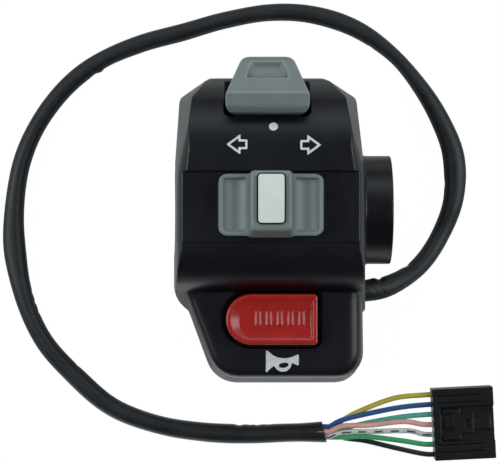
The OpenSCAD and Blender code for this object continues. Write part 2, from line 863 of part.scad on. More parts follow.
module dimmer_rocker() {
    x = [rocker_x - rocker_w / 2, rocker_x + rocker_w / 2];
    slope = atan2(crest[1] - paddle_end[1], paddle_end[0] - crest[0]);
    color(grey_plastic) difference() {
        union() {
            translate([0, pivot[0], pivot[1]]) along_x(x[0] + drum_in, x[1] - drum_in) drum_profile();
            intersection() {
                translate([0, pivot[0], pivot[1]]) along_x(x[0] - 1, x[1] + 1) paddle_profile();
                translate([rocker_x, 0, pivot[1]]) linear_extrude(2 * drum_r) rocker_plan();
            }
            block([rocker_x - arm_w / 2, rocker_x + arm_w / 2],
                [arm_y - arm_t / 2, arm_y + arm_t / 2], [arm_z, pivot[1]]);
        }
        rod_x(x[0] - 1, x[1] + 1, pivot[0], pivot[1], pivot_r + play);
        rod_z([rocker_x, dimmer_ball_y], arm_z - 1, arm_z + 6, ball_r + play);
        translate([rocker_x, pivot[0] + crest[0], pivot[1] + crest[1]]) rotate([-slope, 0, 0])
            hull() for (s = [-1, 1])
                translate([0, 0, s * pad_d]) linear_extrude(slice_t) pad_plan(-s * pad_slope);
    }
}

module dimmer_pivot_pin() {
    reach = rocker_w / 2 + notch_side + cheek_t - 0.5;
    color(steel) rod_x(rocker_x - reach, rocker_x + reach, pivot[0], pivot[1], pivot_r);
}

module dimmer_contact() {
    half = dimmer_strip_l / 2;
    color(brass)
        block([rocker_x - half, rocker_x + half], [dimmer_strip_y - 0.6, dimmer_strip_y + 0.6],
            [arm_z - strip_t, arm_z]);
}

module dimmer_detent_ball() {
    color(steel)
        translate([rocker_x, dimmer_ball_y, dimmer_base_z + gap + ball_r]) sphere(r = ball_r);
}

module dimmer_detent_spring() {
    color(steel)
        coil([rocker_x, dimmer_ball_y], ball_r - 0.4, dimmer_base_z + gap + 2 * ball_r, arm_z + 6, 4, 0.2);
}

module rivets(xs, y, z) {
    for (x = xs) {
        rod_z([x, y], z - base_t, z, rivet_r);
        rod_z([x, y], z - base_t - tail_l, z - base_t + eps, tail_r);
    }
}

module rivet_holes(xs, y, z) {
    for (x = xs)
        rod_z([x, y], z - base_t - 1, z + 1, rivet_r + play / 2);
}

module dimmer_base() {
    half = dimmer_post_x + post_r;
    color(brown_board) difference() {
        block([rocker_x - half, rocker_x + half],
            [dimmer_post_y - post_r, dimmer_strip_y + 2.4], [dimmer_base_z - base_t, dimmer_base_z]);
        for (s = [-1, 1])
            rod_z([rocker_x + s * dimmer_post_x, dimmer_post_y], dimmer_base_z - base_t - 1,
                dimmer_base_z + 1, base_screw_d / 2 + gap / 2);
        rivet_holes([for (x = dimmer_rivets) rocker_x + x], dimmer_strip_y, dimmer_base_z);
        for (turn = [0, rocker_swing])
            translate([rocker_x, dimmer_ball_y + arm_l * sin(turn), dimmer_base_z])
                cylinder(h = 1, r = ball_r / 2, center = true);
    }
}

module dimmer_terminals() {
    color(brass) rivets([for (x = dimmer_rivets) rocker_x + x], dimmer_strip_y, dimmer_base_z);
}

// Wings of the slider, seen along Y
module wing_profile() {
    half = slider_w / 2;
    polygon([
        [-half, slider_z], [half, slider_z], [half - wing_lean, wing_z], [wing_lean - half, wing_z]
    ]);
}

// Finger scoop in one wing, on the left for s = -1 and on the right for s = 1
module scoop(s) {
    intersection() {
        translate([s * scoop_x, slider_y + slider_h, wing_z + scoop_r - scoop_d]) rotate([90, 0, 0])
            cylinder(h = 2 * slider_h, r = scoop_r);
        translate([s * scoop_x, 0, slider_z]) linear_extrude(block_h)
            round_rect([-scoop_half - eps, scoop_half + eps],
                [wing_foot + wing_rim, wing_head - wing_rim], scoop_end);
    }
}

// One level of the middle block's plan
module block_slice(z, half, foot, head) {
    translate([0, 0, z]) linear_extrude(slice_t) round_rect([-half, half], [foot, head], block_r);
}

// Middle block: its foot slopes, its head hangs over and its top edges are broken
module slider_block() {
    half = block_w / 2;
    foot = slider_foot + block_lean;
    head = slider_head + block_hang;
    hull() {
        block_slice(slider_z, half + block_edge, slider_foot, wing_head);
        block_slice(wing_z - block_lean, half + block_edge, slider_foot, slider_head);
        block_slice(block_z - block_edge, half - block_edge, foot, head);
        block_slice(block_z - slice_t, half - 2 * block_edge, foot + block_edge, head - block_edge);
    }
}

module stem_shape(d, z0, z1) {
    block([-stem_w / 2 - d, stem_w / 2 + d],
        [slider_y - stem_h / 2 - d, slider_y + stem_h / 2 + d], [z0, z1]);
}

module turn_slider() {
    color(grey_plastic) difference() {
        union() {
            difference() {
                intersection() {
                    translate([0, slider_h, 0]) rotate([90, 0, 0])
                        linear_extrude(2 * slider_h) wing_profile();
                    translate([0, 0, slider_z - 1]) linear_extrude(block_h)
                        round_rect([-slider_w / 2, slider_w / 2], [wing_foot, wing_head], slider_r);
                }
                scoop(-1);
                scoop(1);
            }
            slider_block();
            stem_shape(0, stem_z, slider_z + eps);
        }
        translate([0, 0, well_z]) linear_extrude(block_h) cancel_plan(gap);
        rod_z([0, slider_y], stem_z - 1, block_z, rod_r + play);
    }
}

module turn_carriage() {
    color(grey_plastic * 0.5) difference() {
        block([-carriage_w / 2, carriage_w / 2],
            [slider_y - carriage_d / 2, slider_y + carriage_d / 2], [carriage_z, carriage_top]);
        stem_shape(play, stem_z, carriage_top + 1);
        rod_z([0, slider_y], carriage_z - 1, stem_z + 1, rod_r + gap);
        rod_z([0, turn_ball_y], carriage_z - 1, detent_top, ball_r + play);
    }
}

module turn_contact_bridge() {
    color(brass) difference() {
        block([-bridge_w / 2, bridge_w / 2], [slider_y + bridge_y[0], slider_y + bridge_y[1]],
            [carriage_z - bridge_t, carriage_z]);
        rod_z([0, slider_y], carriage_z - bridge_t - 1, carriage_z + 1, rod_r + gap);
    }
}

module turn_detent_ball() {
    color(steel) translate([0, turn_ball_y, turn_ball_z]) sphere(r = ball_r);
}

module turn_detent_spring() {
    color(steel) coil([0, turn_ball_y], ball_r - 0.4, turn_ball_z + ball_r, detent_top, 4, 0.2);
}

module turn_base() {
    half_x = turn_post_x + post_r;
    half_y = turn_post_y + post_r;
    groove_r = 2;
    color(brown_board) difference() {
        block([-half_x, half_x], [-half_y, half_y], [turn_base_z - base_t, turn_base_z]);
        for (s = [-1, 1]) for (t = [-1, 1])
            rod_z([s * turn_post_x, t * turn_post_y], turn_base_z - base_t - 1, turn_base_z + 1,
                base_screw_d / 2 + gap / 2);
        rivet_holes(turn_rivets, turn_rivet_y, turn_base_z);
        for (x = [-turn_travel, 0, turn_travel])
            translate([x, turn_ball_y + ball_r, turn_base_z + groove_r - 0.5]) rotate([90, 0, 0])
                cylinder(h = 2 * ball_r, r = groove_r);
    }
}

module turn_terminals() {
    color(brass) rivets(turn_rivets, turn_rivet_y, turn_base_z);
}

// Plan of the cancel button grown by d
module cancel_plan(d) {
    round_rect([-cancel_w / 2 - d, cancel_w / 2 + d],
        [cancel_y - cancel_h / 2 - d, cancel_y + cancel_h / 2 + d], cancel_r + d);
}

module cancel_button() {
    x = cancel_w / 2;
    y = [cancel_y - cancel_h / 2, cancel_y + cancel_h / 2];
    crown = 40;
    color([0.88, 0.89, 0.88]) union() {
        difference() {
            translate([0, 0, cancel_seat]) linear_extrude(cancel_top - cancel_seat) cancel_plan(0);
            difference() {
                block([-x - 1, x + 1], [y[0] - 1, y[1] + 1], [cancel_top - 1, cancel_top + 1]);
                rod_x(-x - 2, x + 2, cancel_y, cancel_top - crown, crown);
            }
        }
        rod_z([0, slider_y], rod_end, cancel_seat + eps, rod_r);
    }
}

module cancel_spring() {
    color(steel) coil([0, slider_y], cancel_coil_r, well_z, cancel_seat, 3, 0.2);
}

module horn_button() {
    dish_z = horn_top - horn_dish;
    dish_in = -horn_taper - horn_rim;
    color([0.75, 0.16, 0.14]) union() {
        difference() {
            union() {
                hull() {
                    translate([0, 0, horn_z]) linear_extrude(slice_t) horn_outline(0);
                    translate([0, 0, horn_top - horn_edge]) linear_extrude(slice_t)
                        horn_outline(-horn_taper);
                    translate([0, 0, horn_top - slice_t]) linear_extrude(slice_t)
                        horn_outline(-horn_taper - horn_edge);
                }
                translate([0, 0, flange_z]) linear_extrude(horn_z - flange_z + eps) horn_outline(0);
                translate([0, 0, flange_z]) linear_extrude(flange_t) horn_outline(flange_out);
                for (s = [-1, 1])
                    rod_z([horn_x + s * leg_x, horn_y], horn_strip_z, flange_z + eps, leg_r);
            }
            rod_z([horn_x, horn_y], flange_z - 1, horn_well_z, well_r);
            intersection() {
                rod_x(horn_x - horn_w / 2, horn_x + horn_w / 2, horn_y, dish_z + dish_r, dish_r);
                hull() {
                    translate([0, 0, horn_top]) linear_extrude(1) horn_outline(dish_in);
                    translate([dish_shift, 0, dish_z - slice_t]) linear_extrude(slice_t)
                        horn_outline(dish_in - dish_slope);
                }
            }
        }
        for (i = [0 : rib_n - 1])
            translate([horn_x + rib_at[0] + (i - (rib_n - 1) / 2) * rib_pitch, horn_y + rib_at[1], dish_z])
                cube([rib_w, rib_l, 2 * rib_h], center = true);
    }
}

module horn_contact() {
    half = leg_x + 2;
    color(brass) difference() {
        union() {
            block([horn_x - half, horn_x + half],
                [horn_y - horn_strip_w / 2, horn_y + horn_strip_w / 2],
                [horn_strip_z - strip_t, horn_strip_z]);
            rod_z([horn_x, horn_y], horn_strip_z - strip_t, horn_strip_z, well_r + 1.4);
        }
        rod_z([horn_x, horn_y], horn_strip_z - 2, horn_strip_z + 2, well_r);
    }
}

module horn_spring() {
    color(steel) coil([horn_x, horn_y], horn_coil_r, horn_base_z, horn_well_z, 5, 0.3);
}

// Board of the horn switch, cut back round the bosses and the cable clamp
module horn_board() {
    difference() {
        horn_plan(gap);
        for (p = clamp_at)
            translate(p) circle(r = boss_r + gap);
        translate([-body_w / 2, horn_posts[0][1] + post_r]) square([body_w, body_w]);
        translate([clamp_x - clamp_w / 2 - gap, exit_y - clamp_reach - grip_head_r - gap])
            square([body_w, body_w]);
    }
}

module horn_base() {
    color(brown_board) difference() {
        union() {
            translate([0, 0, horn_base_z - base_t]) linear_extrude(base_t) horn_board();
            rod_z([horn_x, horn_y], horn_base_z - eps, horn_base_z + spigot_h, horn_coil_r - 0.6);
        }
        for (p = horn_posts)
            rod_z(p, horn_base_z - base_t - 1, horn_base_z + 1, base_screw_d / 2 + gap / 2);
        rivet_holes([horn_x - leg_x, horn_x + leg_x], horn_y, horn_base_z);
    }
}

module horn_terminals() {
    color(brass) rivets([horn_x - leg_x, horn_x + leg_x], horn_y, horn_base_z);
}

module base_screws() {
    r = base_screw_d / 2;
    color(steel) {
        for (s = [-1, 1]) {
            for (t = [-1, 1])
                cross_screw([s * turn_post_x, t * turn_post_y], turn_base_z - base_t,
                    turn_base_z + base_bite, r, base_head_r, base_head_h);
            cross_screw([rocker_x + s * dimmer_post_x, dimmer_post_y], dimmer_base_z - base_t,
                dimmer_base_z + base_bite, r, base_head_r, base_head_h);
        }
        for (p = horn_posts)
            cross_screw(p, horn_base_z - base_t, horn_base_z + base_bite, r, base_head_r, base_head_h);
    }
}

module cable_grommet() {
    color([0.1, 0.1, 0.11]) difference() {
        exit_shape(grommet_r, cavity_x - 1, side_x - 0.8, -split_gap);
        rod_x(cavity_x - 2, side_x + 1, exit_y, exit_z, sleeve_r + play);
        block([cavity_x - 2, side_x], [exit_y - 2 * grommet_r, exit_y + 2 * grommet_r],
            [-split_gap, grommet_r]);
    }
}

module cable_clamp() {
    x = [clamp_x - clamp_w / 2, clamp_x + clamp_w / 2];
    color(grey_plastic * 0.6) difference() {
        union() {
            block(x, [exit_y - clamp_foot, exit_y + clamp_foot], [-split_gap, clamp_top]);
            block(x, [exit_y - clamp_foot, -pocket_y - gap], [exit_z, -split_gap + eps]);
        }
        rod_x(clamp_x - clamp_w, clamp_x + clamp_w, exit_y, exit_z, sleeve_r + play);
        for (s = [-1, 1])
            rod_z([clamp_x, exit_y + s * clamp_reach], exit_z - 1, clamp_top + 1,
                grip_screw_r + gap / 2);
    }
}

module cable_clamp_screws() {
    color(steel)
        for (s = [-1, 1])
            translate([clamp_x, exit_y + s * clamp_reach, clamp_top]) rotate([180, 0, 0])
                cross_screw([0, 0], 0, clamp_top - exit_z + 2, grip_screw_r, grip_head_r, 0.9);
}

module cable_sleeve() {
    color([0.18, 0.19, 0.2]) tube(sleeve_path, sleeve_r, 10);
}

module wire(i, tint) {
    color(tint) tube(wire_path(i), wire_d / 2, 8);
}

module wire_yellow() { wire(0, [0.8, 0.75, 0.27]); }
module wire_blue() { wire(1, [0.18, 0.33, 0.6]); }
module wire_teal() { wire(2, [0.2, 0.6, 0.53]); }
module wire_pink() { wire(3, [0.8, 0.55, 0.53]); }
module wire_white() { wire(4, [0.88, 0.89, 0.88]); }
module wire_green() { wire(5, [0.2, 0.65, 0.37]); }
module wire_black() { wire(6, [0.13, 0.14, 0.15]); }

module plug_frame() {
    translate(plug_at) rotate([0, 0, plug_turn]) children();
}

// Latch in the recess on the connector's front: a cross bar on two arms, a tongue and a pierced plate
module latch() {
    z = [plug_h - latch_d - eps, plug_h - latch_low];
    block(latch_bar, [-latch_half, latch_half], z);
    for (s = [-1, 1])
        block([latch_bar[0] - latch_arm, latch_bar[0] + eps],
            [s * (latch_half - latch_t / 2) - latch_t / 2, s * (latch_half - latch_t / 2) + latch_t / 2], z);
    block([latch_bar[0] - tongue_l, latch_bar[0] + eps], [-tongue_w / 2, tongue_w / 2], z);
    difference() {
        block([latch_bar[1] - eps, latch_bar[1] + plate_l], [-plate_w / 2, plate_w / 2], z);
        block([latch_bar[1] + plate_l * 0.4, latch_bar[1] + plate_l * 0.8], [-1, 1], [z[0] + eps, z[1] + 1]);
    }
    block([latch_bar[1] + plate_l - eps, plug_l / 2 - 1], [-plate_w / 3, plate_w / 3], z - [0, latch_low]);
}

module connector_housing() {
    x = plug_l / 2;
    y = plug_w / 2;
    recess = latch_half + 0.5;
    color([0.09, 0.1, 0.1]) plug_frame() union() {
        difference() {
            block([-x, x], [-y, y], [0, plug_h]);
            block([latch_bar[0] - latch_arm - 0.4, x + 1], [-recess, recess],
                [plug_h - latch_d, plug_h + 1]);
            for (s = [-1, 1]) for (k = groove_y)
                block([-x + 1, x - 3], [s * k - groove_w / 2, s * k + groove_w / 2],
                    [plug_h - groove_d, plug_h + 1]);
            for (i = [0 : 6]) {
                block([-x - 1, x - 1.2], [way_y(i) - way_w / 2, way_y(i) + way_w / 2],
                    [way_z - way_w / 2, way_z + way_w / 2]);
                block([x - 2, x + 1], [way_y(i) - 0.5, way_y(i) + 0.5], [way_z - 0.5, way_z + 0.5]);
            }
        }
        latch();
    }
}

module connector_terminals() {
    x = plug_l / 2;
    half = way_w / 2 - play;
    color(brass) plug_frame()
        for (i = [0 : 6])
            difference() {
                block([-x + wire_bite, x - 1.6], [way_y(i) - half, way_y(i) + half],
                    [way_z - half, way_z + half]);
                block([0, x], [way_y(i) - 0.5, way_y(i) + 0.5], [way_z - 0.5, way_z + 0.5]);
            }
}

front_housing();
rear_housing();
clamp_screws();
clamp_inserts();
dimmer_rocker();
dimmer_pivot_pin();
dimmer_contact();
dimmer_detent_ball();
dimmer_detent_spring();
dimmer_base();
dimmer_terminals();
turn_slider();
turn_carriage();
turn_contact_bridge();
turn_detent_ball();
turn_detent_spring();
turn_base();
turn_terminals();
cancel_button();
cancel_spring();
horn_button();
horn_contact();
horn_spring();
horn_base();
horn_terminals();
base_screws();
cable_grommet();
cable_clamp();
cable_clamp_screws();
cable_sleeve();
wire_yellow();
wire_blue();
wire_teal();
wire_pink();
wire_white();
wire_green();
wire_black();
connector_housing();
connector_terminals();
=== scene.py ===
"""Handlebar switch cluster: the looks of the part, in the frame of its solids."""

import json
import math

import bmesh
import bpy
import numpy as np
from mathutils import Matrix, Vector
from mathutils.bvhtree import BVHTree
from mathutils.kdtree import KDTree


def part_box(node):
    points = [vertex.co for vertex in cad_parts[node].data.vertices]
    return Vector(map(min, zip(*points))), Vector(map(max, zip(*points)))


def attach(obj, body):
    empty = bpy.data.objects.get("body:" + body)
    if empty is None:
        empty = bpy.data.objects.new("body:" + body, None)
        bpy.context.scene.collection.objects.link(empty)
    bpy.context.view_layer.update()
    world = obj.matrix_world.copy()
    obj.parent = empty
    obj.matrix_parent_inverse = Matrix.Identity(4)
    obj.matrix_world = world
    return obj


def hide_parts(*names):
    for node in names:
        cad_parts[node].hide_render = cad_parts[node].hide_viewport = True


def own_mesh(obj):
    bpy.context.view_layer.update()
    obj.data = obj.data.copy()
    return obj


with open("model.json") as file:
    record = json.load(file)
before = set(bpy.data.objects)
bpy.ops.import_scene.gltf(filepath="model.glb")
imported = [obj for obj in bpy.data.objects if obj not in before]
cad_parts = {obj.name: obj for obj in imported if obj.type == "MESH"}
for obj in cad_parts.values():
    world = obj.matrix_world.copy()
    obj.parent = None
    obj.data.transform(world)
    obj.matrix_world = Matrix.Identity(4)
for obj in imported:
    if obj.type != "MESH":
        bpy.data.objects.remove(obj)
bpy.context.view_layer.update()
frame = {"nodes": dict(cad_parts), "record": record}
nodes = frame["nodes"]
scene = bpy.context.scene
scene.view_settings.view_transform = "Standard"

# Sizes are in millimetres, and MM turns them into metres
MM = 0.001
FLOOR_Z = -16.0
SLEEVE_D = 4.7
WIRE_D = 1.35
# The rocker's drum: Y and Z of its axle, and its radius
DRUM = (25.54, 19.82, 7.6)


# Small tools


def new_object(name, mesh):
    piece = bpy.data.objects.new(name, mesh)
    scene.collection.objects.link(piece)
    return piece


def settle(piece):
    """Turns the modifiers of a piece into its mesh."""
    graph = bpy.context.evaluated_depsgraph_get()
    mesh = bpy.data.meshes.new_from_object(piece.evaluated_get(graph))
    piece.modifiers.clear()
    old = piece.data
    piece.data = mesh
    bpy.data.meshes.remove(old)
    return piece


def store(mesh, name, values):
    """Keeps one number for each point of a mesh, for its finish to read."""
    mesh.attributes.new(name, "FLOAT", "POINT").data.foreach_set("value", values.astype(np.float32))


def cover(mesh, finish):
    """Makes a finish the only one of a mesh."""
    mesh.materials.clear()
    mesh.materials.append(finish)


def dress(piece, node, body):
    """Puts a piece in the place of a node, on a body, and hides the node."""
    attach(piece, body)
    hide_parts(node)


def smooth_line(points, steps):
    """Points of a smooth curve through the given ones."""
    p = np.asarray(points, float)
    first, last = 2 * p[0] - p[1], 2 * p[-1] - p[-2]
    q = np.vstack([first, p, last])
    t = np.linspace(0, 1, steps, endpoint=False)[:, None]
    rows = []
    for a, b, c, d in zip(q[:-3], q[1:-2], q[2:-1], q[3:]):
        square = 2 * a - 5 * b + 4 * c - d
        cube = 3 * b - a - 3 * c + d
        rows.append(0.5 * (2 * b + (c - a) * t + square * t**2 + cube * t**3))
    return np.vstack(rows + [p[-1:]])


class Value:
    """A node's output that takes part in Python sums."""

    def __init__(self, graph, socket):
        self.graph = graph
        self.socket = socket

    def maths(self, operation, first, second):
        return self.graph.add("ShaderNodeMath", {"operation": operation}, {0: first, 1: second})

    def __add__(self, other):
        return self.maths("ADD", self, other)

    def __radd__(self, other):
        return self.maths("ADD", other, self)

    def __sub__(self, other):
        return self.maths("SUBTRACT", self, other)

    def __rsub__(self, other):
        return self.maths("SUBTRACT", other, self)

    def __mul__(self, other):
        return self.maths("MULTIPLY", self, other)

    def __rmul__(self, other):
        return self.maths("MULTIPLY", other, self)

    def __truediv__(self, other):
        return self.maths("DIVIDE", self, other)

    def __lt__(self, other):
        return self.maths("LESS_THAN", self, other)

    def at_least(self, other):
        return self.maths("MAXIMUM", self, other)

    def size(self):
        return self.graph.add("ShaderNodeMath", {"operation": "ABSOLUTE"}, {0: self})

    def past_whole(self):
        return self.graph.add("ShaderNodeMath", {"operation": "FRACT"}, {0: self})

    def swing(self, amount):
        """How far a pattern is from its middle level, times an amount."""
        return (self - 0.5) * amount


class Graph:
    """A node tree that is written node by node."""

    def __init__(self, tree):
        self.tree = tree

    def feed(self, socket, value):
        if isinstance(value, Value):
            self.tree.links.new(value.socket, socket)
        else:
            socket.default_value = value

    def add(self, kind, settings=None, inputs=None, out=0):
        node = self.tree.nodes.new(kind)
        for key, value in (settings or {}).items():
            if key == "stops":
                self.set_stops(node.color_ramp, value)
            else:
                setattr(node, key, value)
        for key, value in (inputs or {}).items():
            self.feed(node.inputs[key], value)
        return Value(self, node.outputs[out])

    def set_stops(self, ramp, stops):
        while len(ramp.elements) < len(stops):
            ramp.elements.new(0.5)
        for element, (place, level) in zip(ramp.elements, stops):
            element.position = place
            element.color = (level, level, level, 1)

    def ramp(self, value, stops):
        return self.add("ShaderNodeValToRGB", {"stops": stops}, {"Fac": value})

    def part_of(self, vector, letter):
        return self.add("ShaderNodeSeparateXYZ", None, {0: vector}, out=letter)

    def end(self, kind, socket, value):
        """Adds the node that a tree ends in."""
        last = self.tree.nodes.new(kind)
        self.feed(last.inputs[socket], value)


class Finish(Graph):
    """A material on one Principled shader, with patterns on Object coordinates."""

    def __init__(self, name, **constants):
        self.material = bpy.data.materials.new(name)
        self.material.use_nodes = True
        super().__init__(self.material.node_tree)
        self.shader = self.tree.nodes["Principled BSDF"]
        self.place = self.add("ShaderNodeTexCoord", out="Object")
        for key, value in constants.items():
            self.shader.inputs[key.replace("_", " ")].default_value = value

    def noise(self, size_mm, detail=3, rough=0.5, place=None):
        inputs = {"Scale": 1 / (size_mm * MM), "Detail": detail, "Roughness": rough}
        return self.add("ShaderNodeTexNoise", None, {"Vector": place or self.place, **inputs})

    def stretch(self, x, y, z):
        return self.add("ShaderNodeMapping", None, {"Vector": self.place, "Scale": (x, y, z)})

    def patches(self, value, low, high):
        """Turns a pattern into patches: 0 below the low level, 1 above the high one."""
        return self.ramp(value, [(low, 0), (high, 1)])

    def blend(self, share, first, second):
        return self.add(
            "ShaderNodeMix", {"data_type": "RGBA"}, {"Factor": share, 6: first, 7: second}, out=2
        )

    def own(self, name):
        """A number that the piece's own mesh holds."""
        return self.add("ShaderNodeAttribute", {"attribute_name": name}, out="Fac")

    def rise(self, length, low_mm, high_mm):
        """0 below the low mark, 1 above the high one."""
        inputs = {"Value": length, "From Min": low_mm * MM, "From Max": high_mm * MM}
        return self.add("ShaderNodeMapRange", None, inputs)

    def off_axle(self, y_mm, z_mm):
        """Distance from an axle along X."""
        shift = {0: self.place, 1: (0, 1, 1), 2: (0, -y_mm * MM, -z_mm * MM)}
        across = self.add("ShaderNodeVectorMath", {"operation": "MULTIPLY_ADD"}, shift)
        return self.add("ShaderNodeVectorMath", {"operation": "LENGTH"}, {0: across}, out="Value")

    def hollow(self, reach_mm):
        """How deep a spot lies in a hollow of the piece itself, 0 on an open face."""
        settings = {"samples": 8, "only_local": True}
        return 1 - self.add("ShaderNodeAmbientOcclusion", settings, {"Distance": reach_mm * MM}, out="AO")

    def edges(self):
        """How far a spot stands out of its surroundings, 0.5 on a flat."""
        return self.add("ShaderNodeNewGeometry", out="Pointiness")

    def bump(self, height, depth_mm, strength=1.0, under=None):
        inputs = {"Height": height, "Distance": depth_mm * MM, "Strength": strength}
        if under:
            inputs["Normal"] = under
        return self.add("ShaderNodeBump", None, inputs)

    def set(self, **inputs):
        for key, value in inputs.items():
            self.feed(self.shader.inputs[key.replace("_", " ")], value)
        return self.material


def tone(r, g, b):
    return (r, g, b, 1)


def darker(colour, share):
    return tone(*(share * c for c in colour[:3]))


def rub_highlight_tone(colour):
    """The pale tone of edges worn by hands, and of painted highlights along edges."""
    return tone(*(min(1, 1.7 * c + 0.004) for c in colour[:3]))


# Finishes

# Near black, put on the rocker's drum as painted shade
DRUM_SHADE = tone(0.012, 0.013, 0.014)


def moulded_plastic(
    name, dark, light, rough, grain_mm=0.28, grain_depth=0.012, gloss=0.4, wear_and_highlight=0.0, hollow_shade=0.0, drum=None
):
    """Satin moulded plastic: spark grain, slow changes of gloss, edges lightened by rubbing and by a painted
    highlight, and painted shade in hollows.

    Where it turns on an axle along X, its drum is painted near black, as painted shade in the gap where it
    shows.
    """
    f = Finish(name, Specular_IOR_Level=gloss)
    cloud = f.noise(9, detail=4, rough=0.55)
    grain = f.noise(grain_mm, detail=2, rough=0.6)
    flow = f.noise(2.2, place=f.stretch(1, 0.35, 1))
    rubbed = f.own("rubbed")
    shade = f.patches(cloud * 0.7 + flow * 0.3, 0.3, 0.7)
    # Convex edges lighter: worn by hands, and a painted highlight along them
    colour = f.blend(rubbed * wear_and_highlight, f.blend(shade, dark, light), rub_highlight_tone(light))
    # Painted shade: darker where the piece's own hollows keep light out
    if hollow_shade:
        colour = f.blend(f.hollow(1.5) * hollow_shade, colour, darker(dark, 0.3))
    # Painted shade: the drum, seen in the gap under the lip, is painted near black
    if drum:
        y, z, radius = drum
        unshaded = f.rise(f.off_axle(y, z), radius + 0.05, radius + 0.25)
        colour = f.blend(unshaded, DRUM_SHADE, colour)
    return f.set(
        Base_Color=colour,
        Roughness=rough + cloud.swing(0.16) + grain.swing(0.1) - rubbed * (0.17 * wear_and_highlight),
        Normal=f.bump(grain, grain_depth, strength=0.5, under=f.bump(cloud, 0.05, strength=0.15)),
    )


def gloss_plastic(name, dark, light, rough, coat=0.15, shade_below=None):
    """Smooth moulded plastic with a faint flow pattern, painted shade in its hollows, and painted shade low
    on it, fading out between two heights.
    """
    f = Finish(name, Specular_IOR_Level=0.45, Coat_Roughness=0.15, Coat_Weight=coat)
    cloud = f.noise(6, detail=4, rough=0.55)
    flow = f.noise(1.4, place=f.stretch(0.4, 1, 1))
    shade = f.patches(cloud * 0.6 + flow * 0.4, 0.3, 0.7)
    # Painted shade: darker in the piece's own hollows, where less light reaches
    colour = f.blend(f.hollow(1), f.blend(shade, dark, light), darker(dark, 0.4))
    # Painted shade: near black below the lower height, where the part sits in its pocket
    if shade_below:
        unshaded = f.rise(f.part_of(f.place, "Z"), *shade_below)
        colour = f.blend(unshaded, darker(dark, 0.06), colour)
    return f.set(
        Base_Color=colour,
        Roughness=rough + cloud.swing(0.14) + flow.swing(0.06),
        Normal=f.bump(flow, 0.02, strength=0.25),
    )


def vinyl_sleeve():
    """Charcoal shrink tube: fine lengthwise draw lines, and its concave folds drawn up to halfway towards
    one dark grey.
    """
    f = Finish("sleeve_vinyl", Specular_IOR_Level=0.42)
    cloud = f.noise(7, detail=5, rough=0.6)
    fine = f.noise(0.35, rough=0.6)
    lengthwise = f.add("ShaderNodeCombineXYZ", None, {0: f.own("along") * 60, 1: f.own("around") * 14})
    drawn = f.add(
        "ShaderNodeTexNoise", {"noise_dimensions": "2D"},
        {"Vector": lengthwise, "Scale": 1.0, "Detail": 4.0, "Roughness": 0.6},
    )
    # Concave folds are drawn up to halfway towards one dark grey
    fold = f.ramp(f.edges(), [(0.44, 1), (0.5, 0)])
    shade = f.patches(cloud * 0.5 + drawn * 0.5, 0.3, 0.7)
    tint = f.blend(shade, tone(0.0075, 0.0096, 0.0118), tone(0.0205, 0.0252, 0.0305))
    return f.set(
        Base_Color=f.blend(fold * 0.5, tint, tone(0.012, 0.014, 0.016)),
        Roughness=0.44 + cloud.swing(0.2) + drawn.swing(0.14),
        Normal=f.bump(fine, 0.02, strength=0.35, under=f.bump(drawn, 0.12, strength=0.5)),
    )


# Dashes on the white wire: their pitch, the share of it that is printed, the side of the wire that they
# lie on and half their width, both in turns
DASH_PITCH = 4.2
DASH_SHARE = 0.55
DASH_SIDE = 0.76
DASH_HALF = 0.055


def wire_skin(name, tint, dashed):
    """Wire insulation with a faint lay, and ragged printed dashes where it has them."""
    f = Finish(name, Specular_IOR_Level=0.5)
    cloud = f.noise(3)
    fine = f.noise(0.25, detail=2)
    colour = f.blend(f.patches(cloud, 0.3, 0.75), darker(tint, 0.8), tone(*tint))
    if dashed:
        step = (f.own("along") / (DASH_PITCH * MM)).past_whole()
        side = (f.own("around") - DASH_SIDE).size()
        ragged = f.noise(0.5, detail=2, rough=0.6)
        dash = (step + ragged.swing(0.5) < DASH_SHARE) * (side + ragged.swing(0.05) < DASH_HALF)
        colour = f.blend(dash * 0.9, colour, tone(0.02, 0.022, 0.03))
    return f.set(
        Base_Color=colour,
        Roughness=0.36 + cloud.swing(0.16),
        Normal=f.bump(fine, 0.01, strength=0.4, under=f.bump(cloud, 0.08, strength=0.3)),
    )


def plated_steel(name, dark, light):
    """Plated or burnished steel with turning marks and dull patches."""
    f = Finish(name, Metallic=1.0)
    cloud = f.noise(1.6, detail=4, rough=0.6)
    turned = f.noise(0.4, detail=2, place=f.stretch(1, 1, 6))
    return f.set(
        Base_Color=f.blend(f.patches(cloud, 0.35, 0.7), dark, light),
        Roughness=0.3 + cloud.swing(0.3) + turned.swing(0.1),
        Normal=f.bump(turned, 0.01, strength=0.4),
    )


def stamped_brass():
    """Stamped brass with a little tarnish."""
    f = Finish("contact_brass", Metallic=1.0)
    cloud = f.noise(1.8, detail=4, rough=0.6)
    fine = f.noise(0.3, detail=2, place=f.stretch(4, 1, 1))
    return f.set(
        Base_Color=f.blend(f.patches(cloud, 0.35, 0.75), tone(0.52, 0.34, 0.13), tone(0.76, 0.56, 0.26)),
        Roughness=0.32 + cloud.swing(0.3),
        Normal=f.bump(fine, 0.01, strength=0.4),
    )


def laminated_board():
    """Brown laminate with a woven ground."""
    f = Finish("board_brown", Specular_IOR_Level=0.4)
    threads = {"Vector": f.place, "Scale": 320.0, "Distortion": 2.0}
    weave = f.add("ShaderNodeTexWave", {"bands_direction": "X"}, threads)
    cross = f.add("ShaderNodeTexWave", {"bands_direction": "Y"}, threads)
    cloud = f.noise(2.5, detail=4, rough=0.6)
    share = f.patches(weave * 0.3 + cross * 0.3 + cloud * 0.4, 0.2, 0.8)
    return f.set(
        Base_Color=f.blend(share, tone(0.035, 0.018, 0.009), tone(0.075, 0.04, 0.019)),
        Roughness=0.5 + cloud.swing(0.2),
        Normal=f.bump(weave + cross, 0.02, strength=0.3),
    )


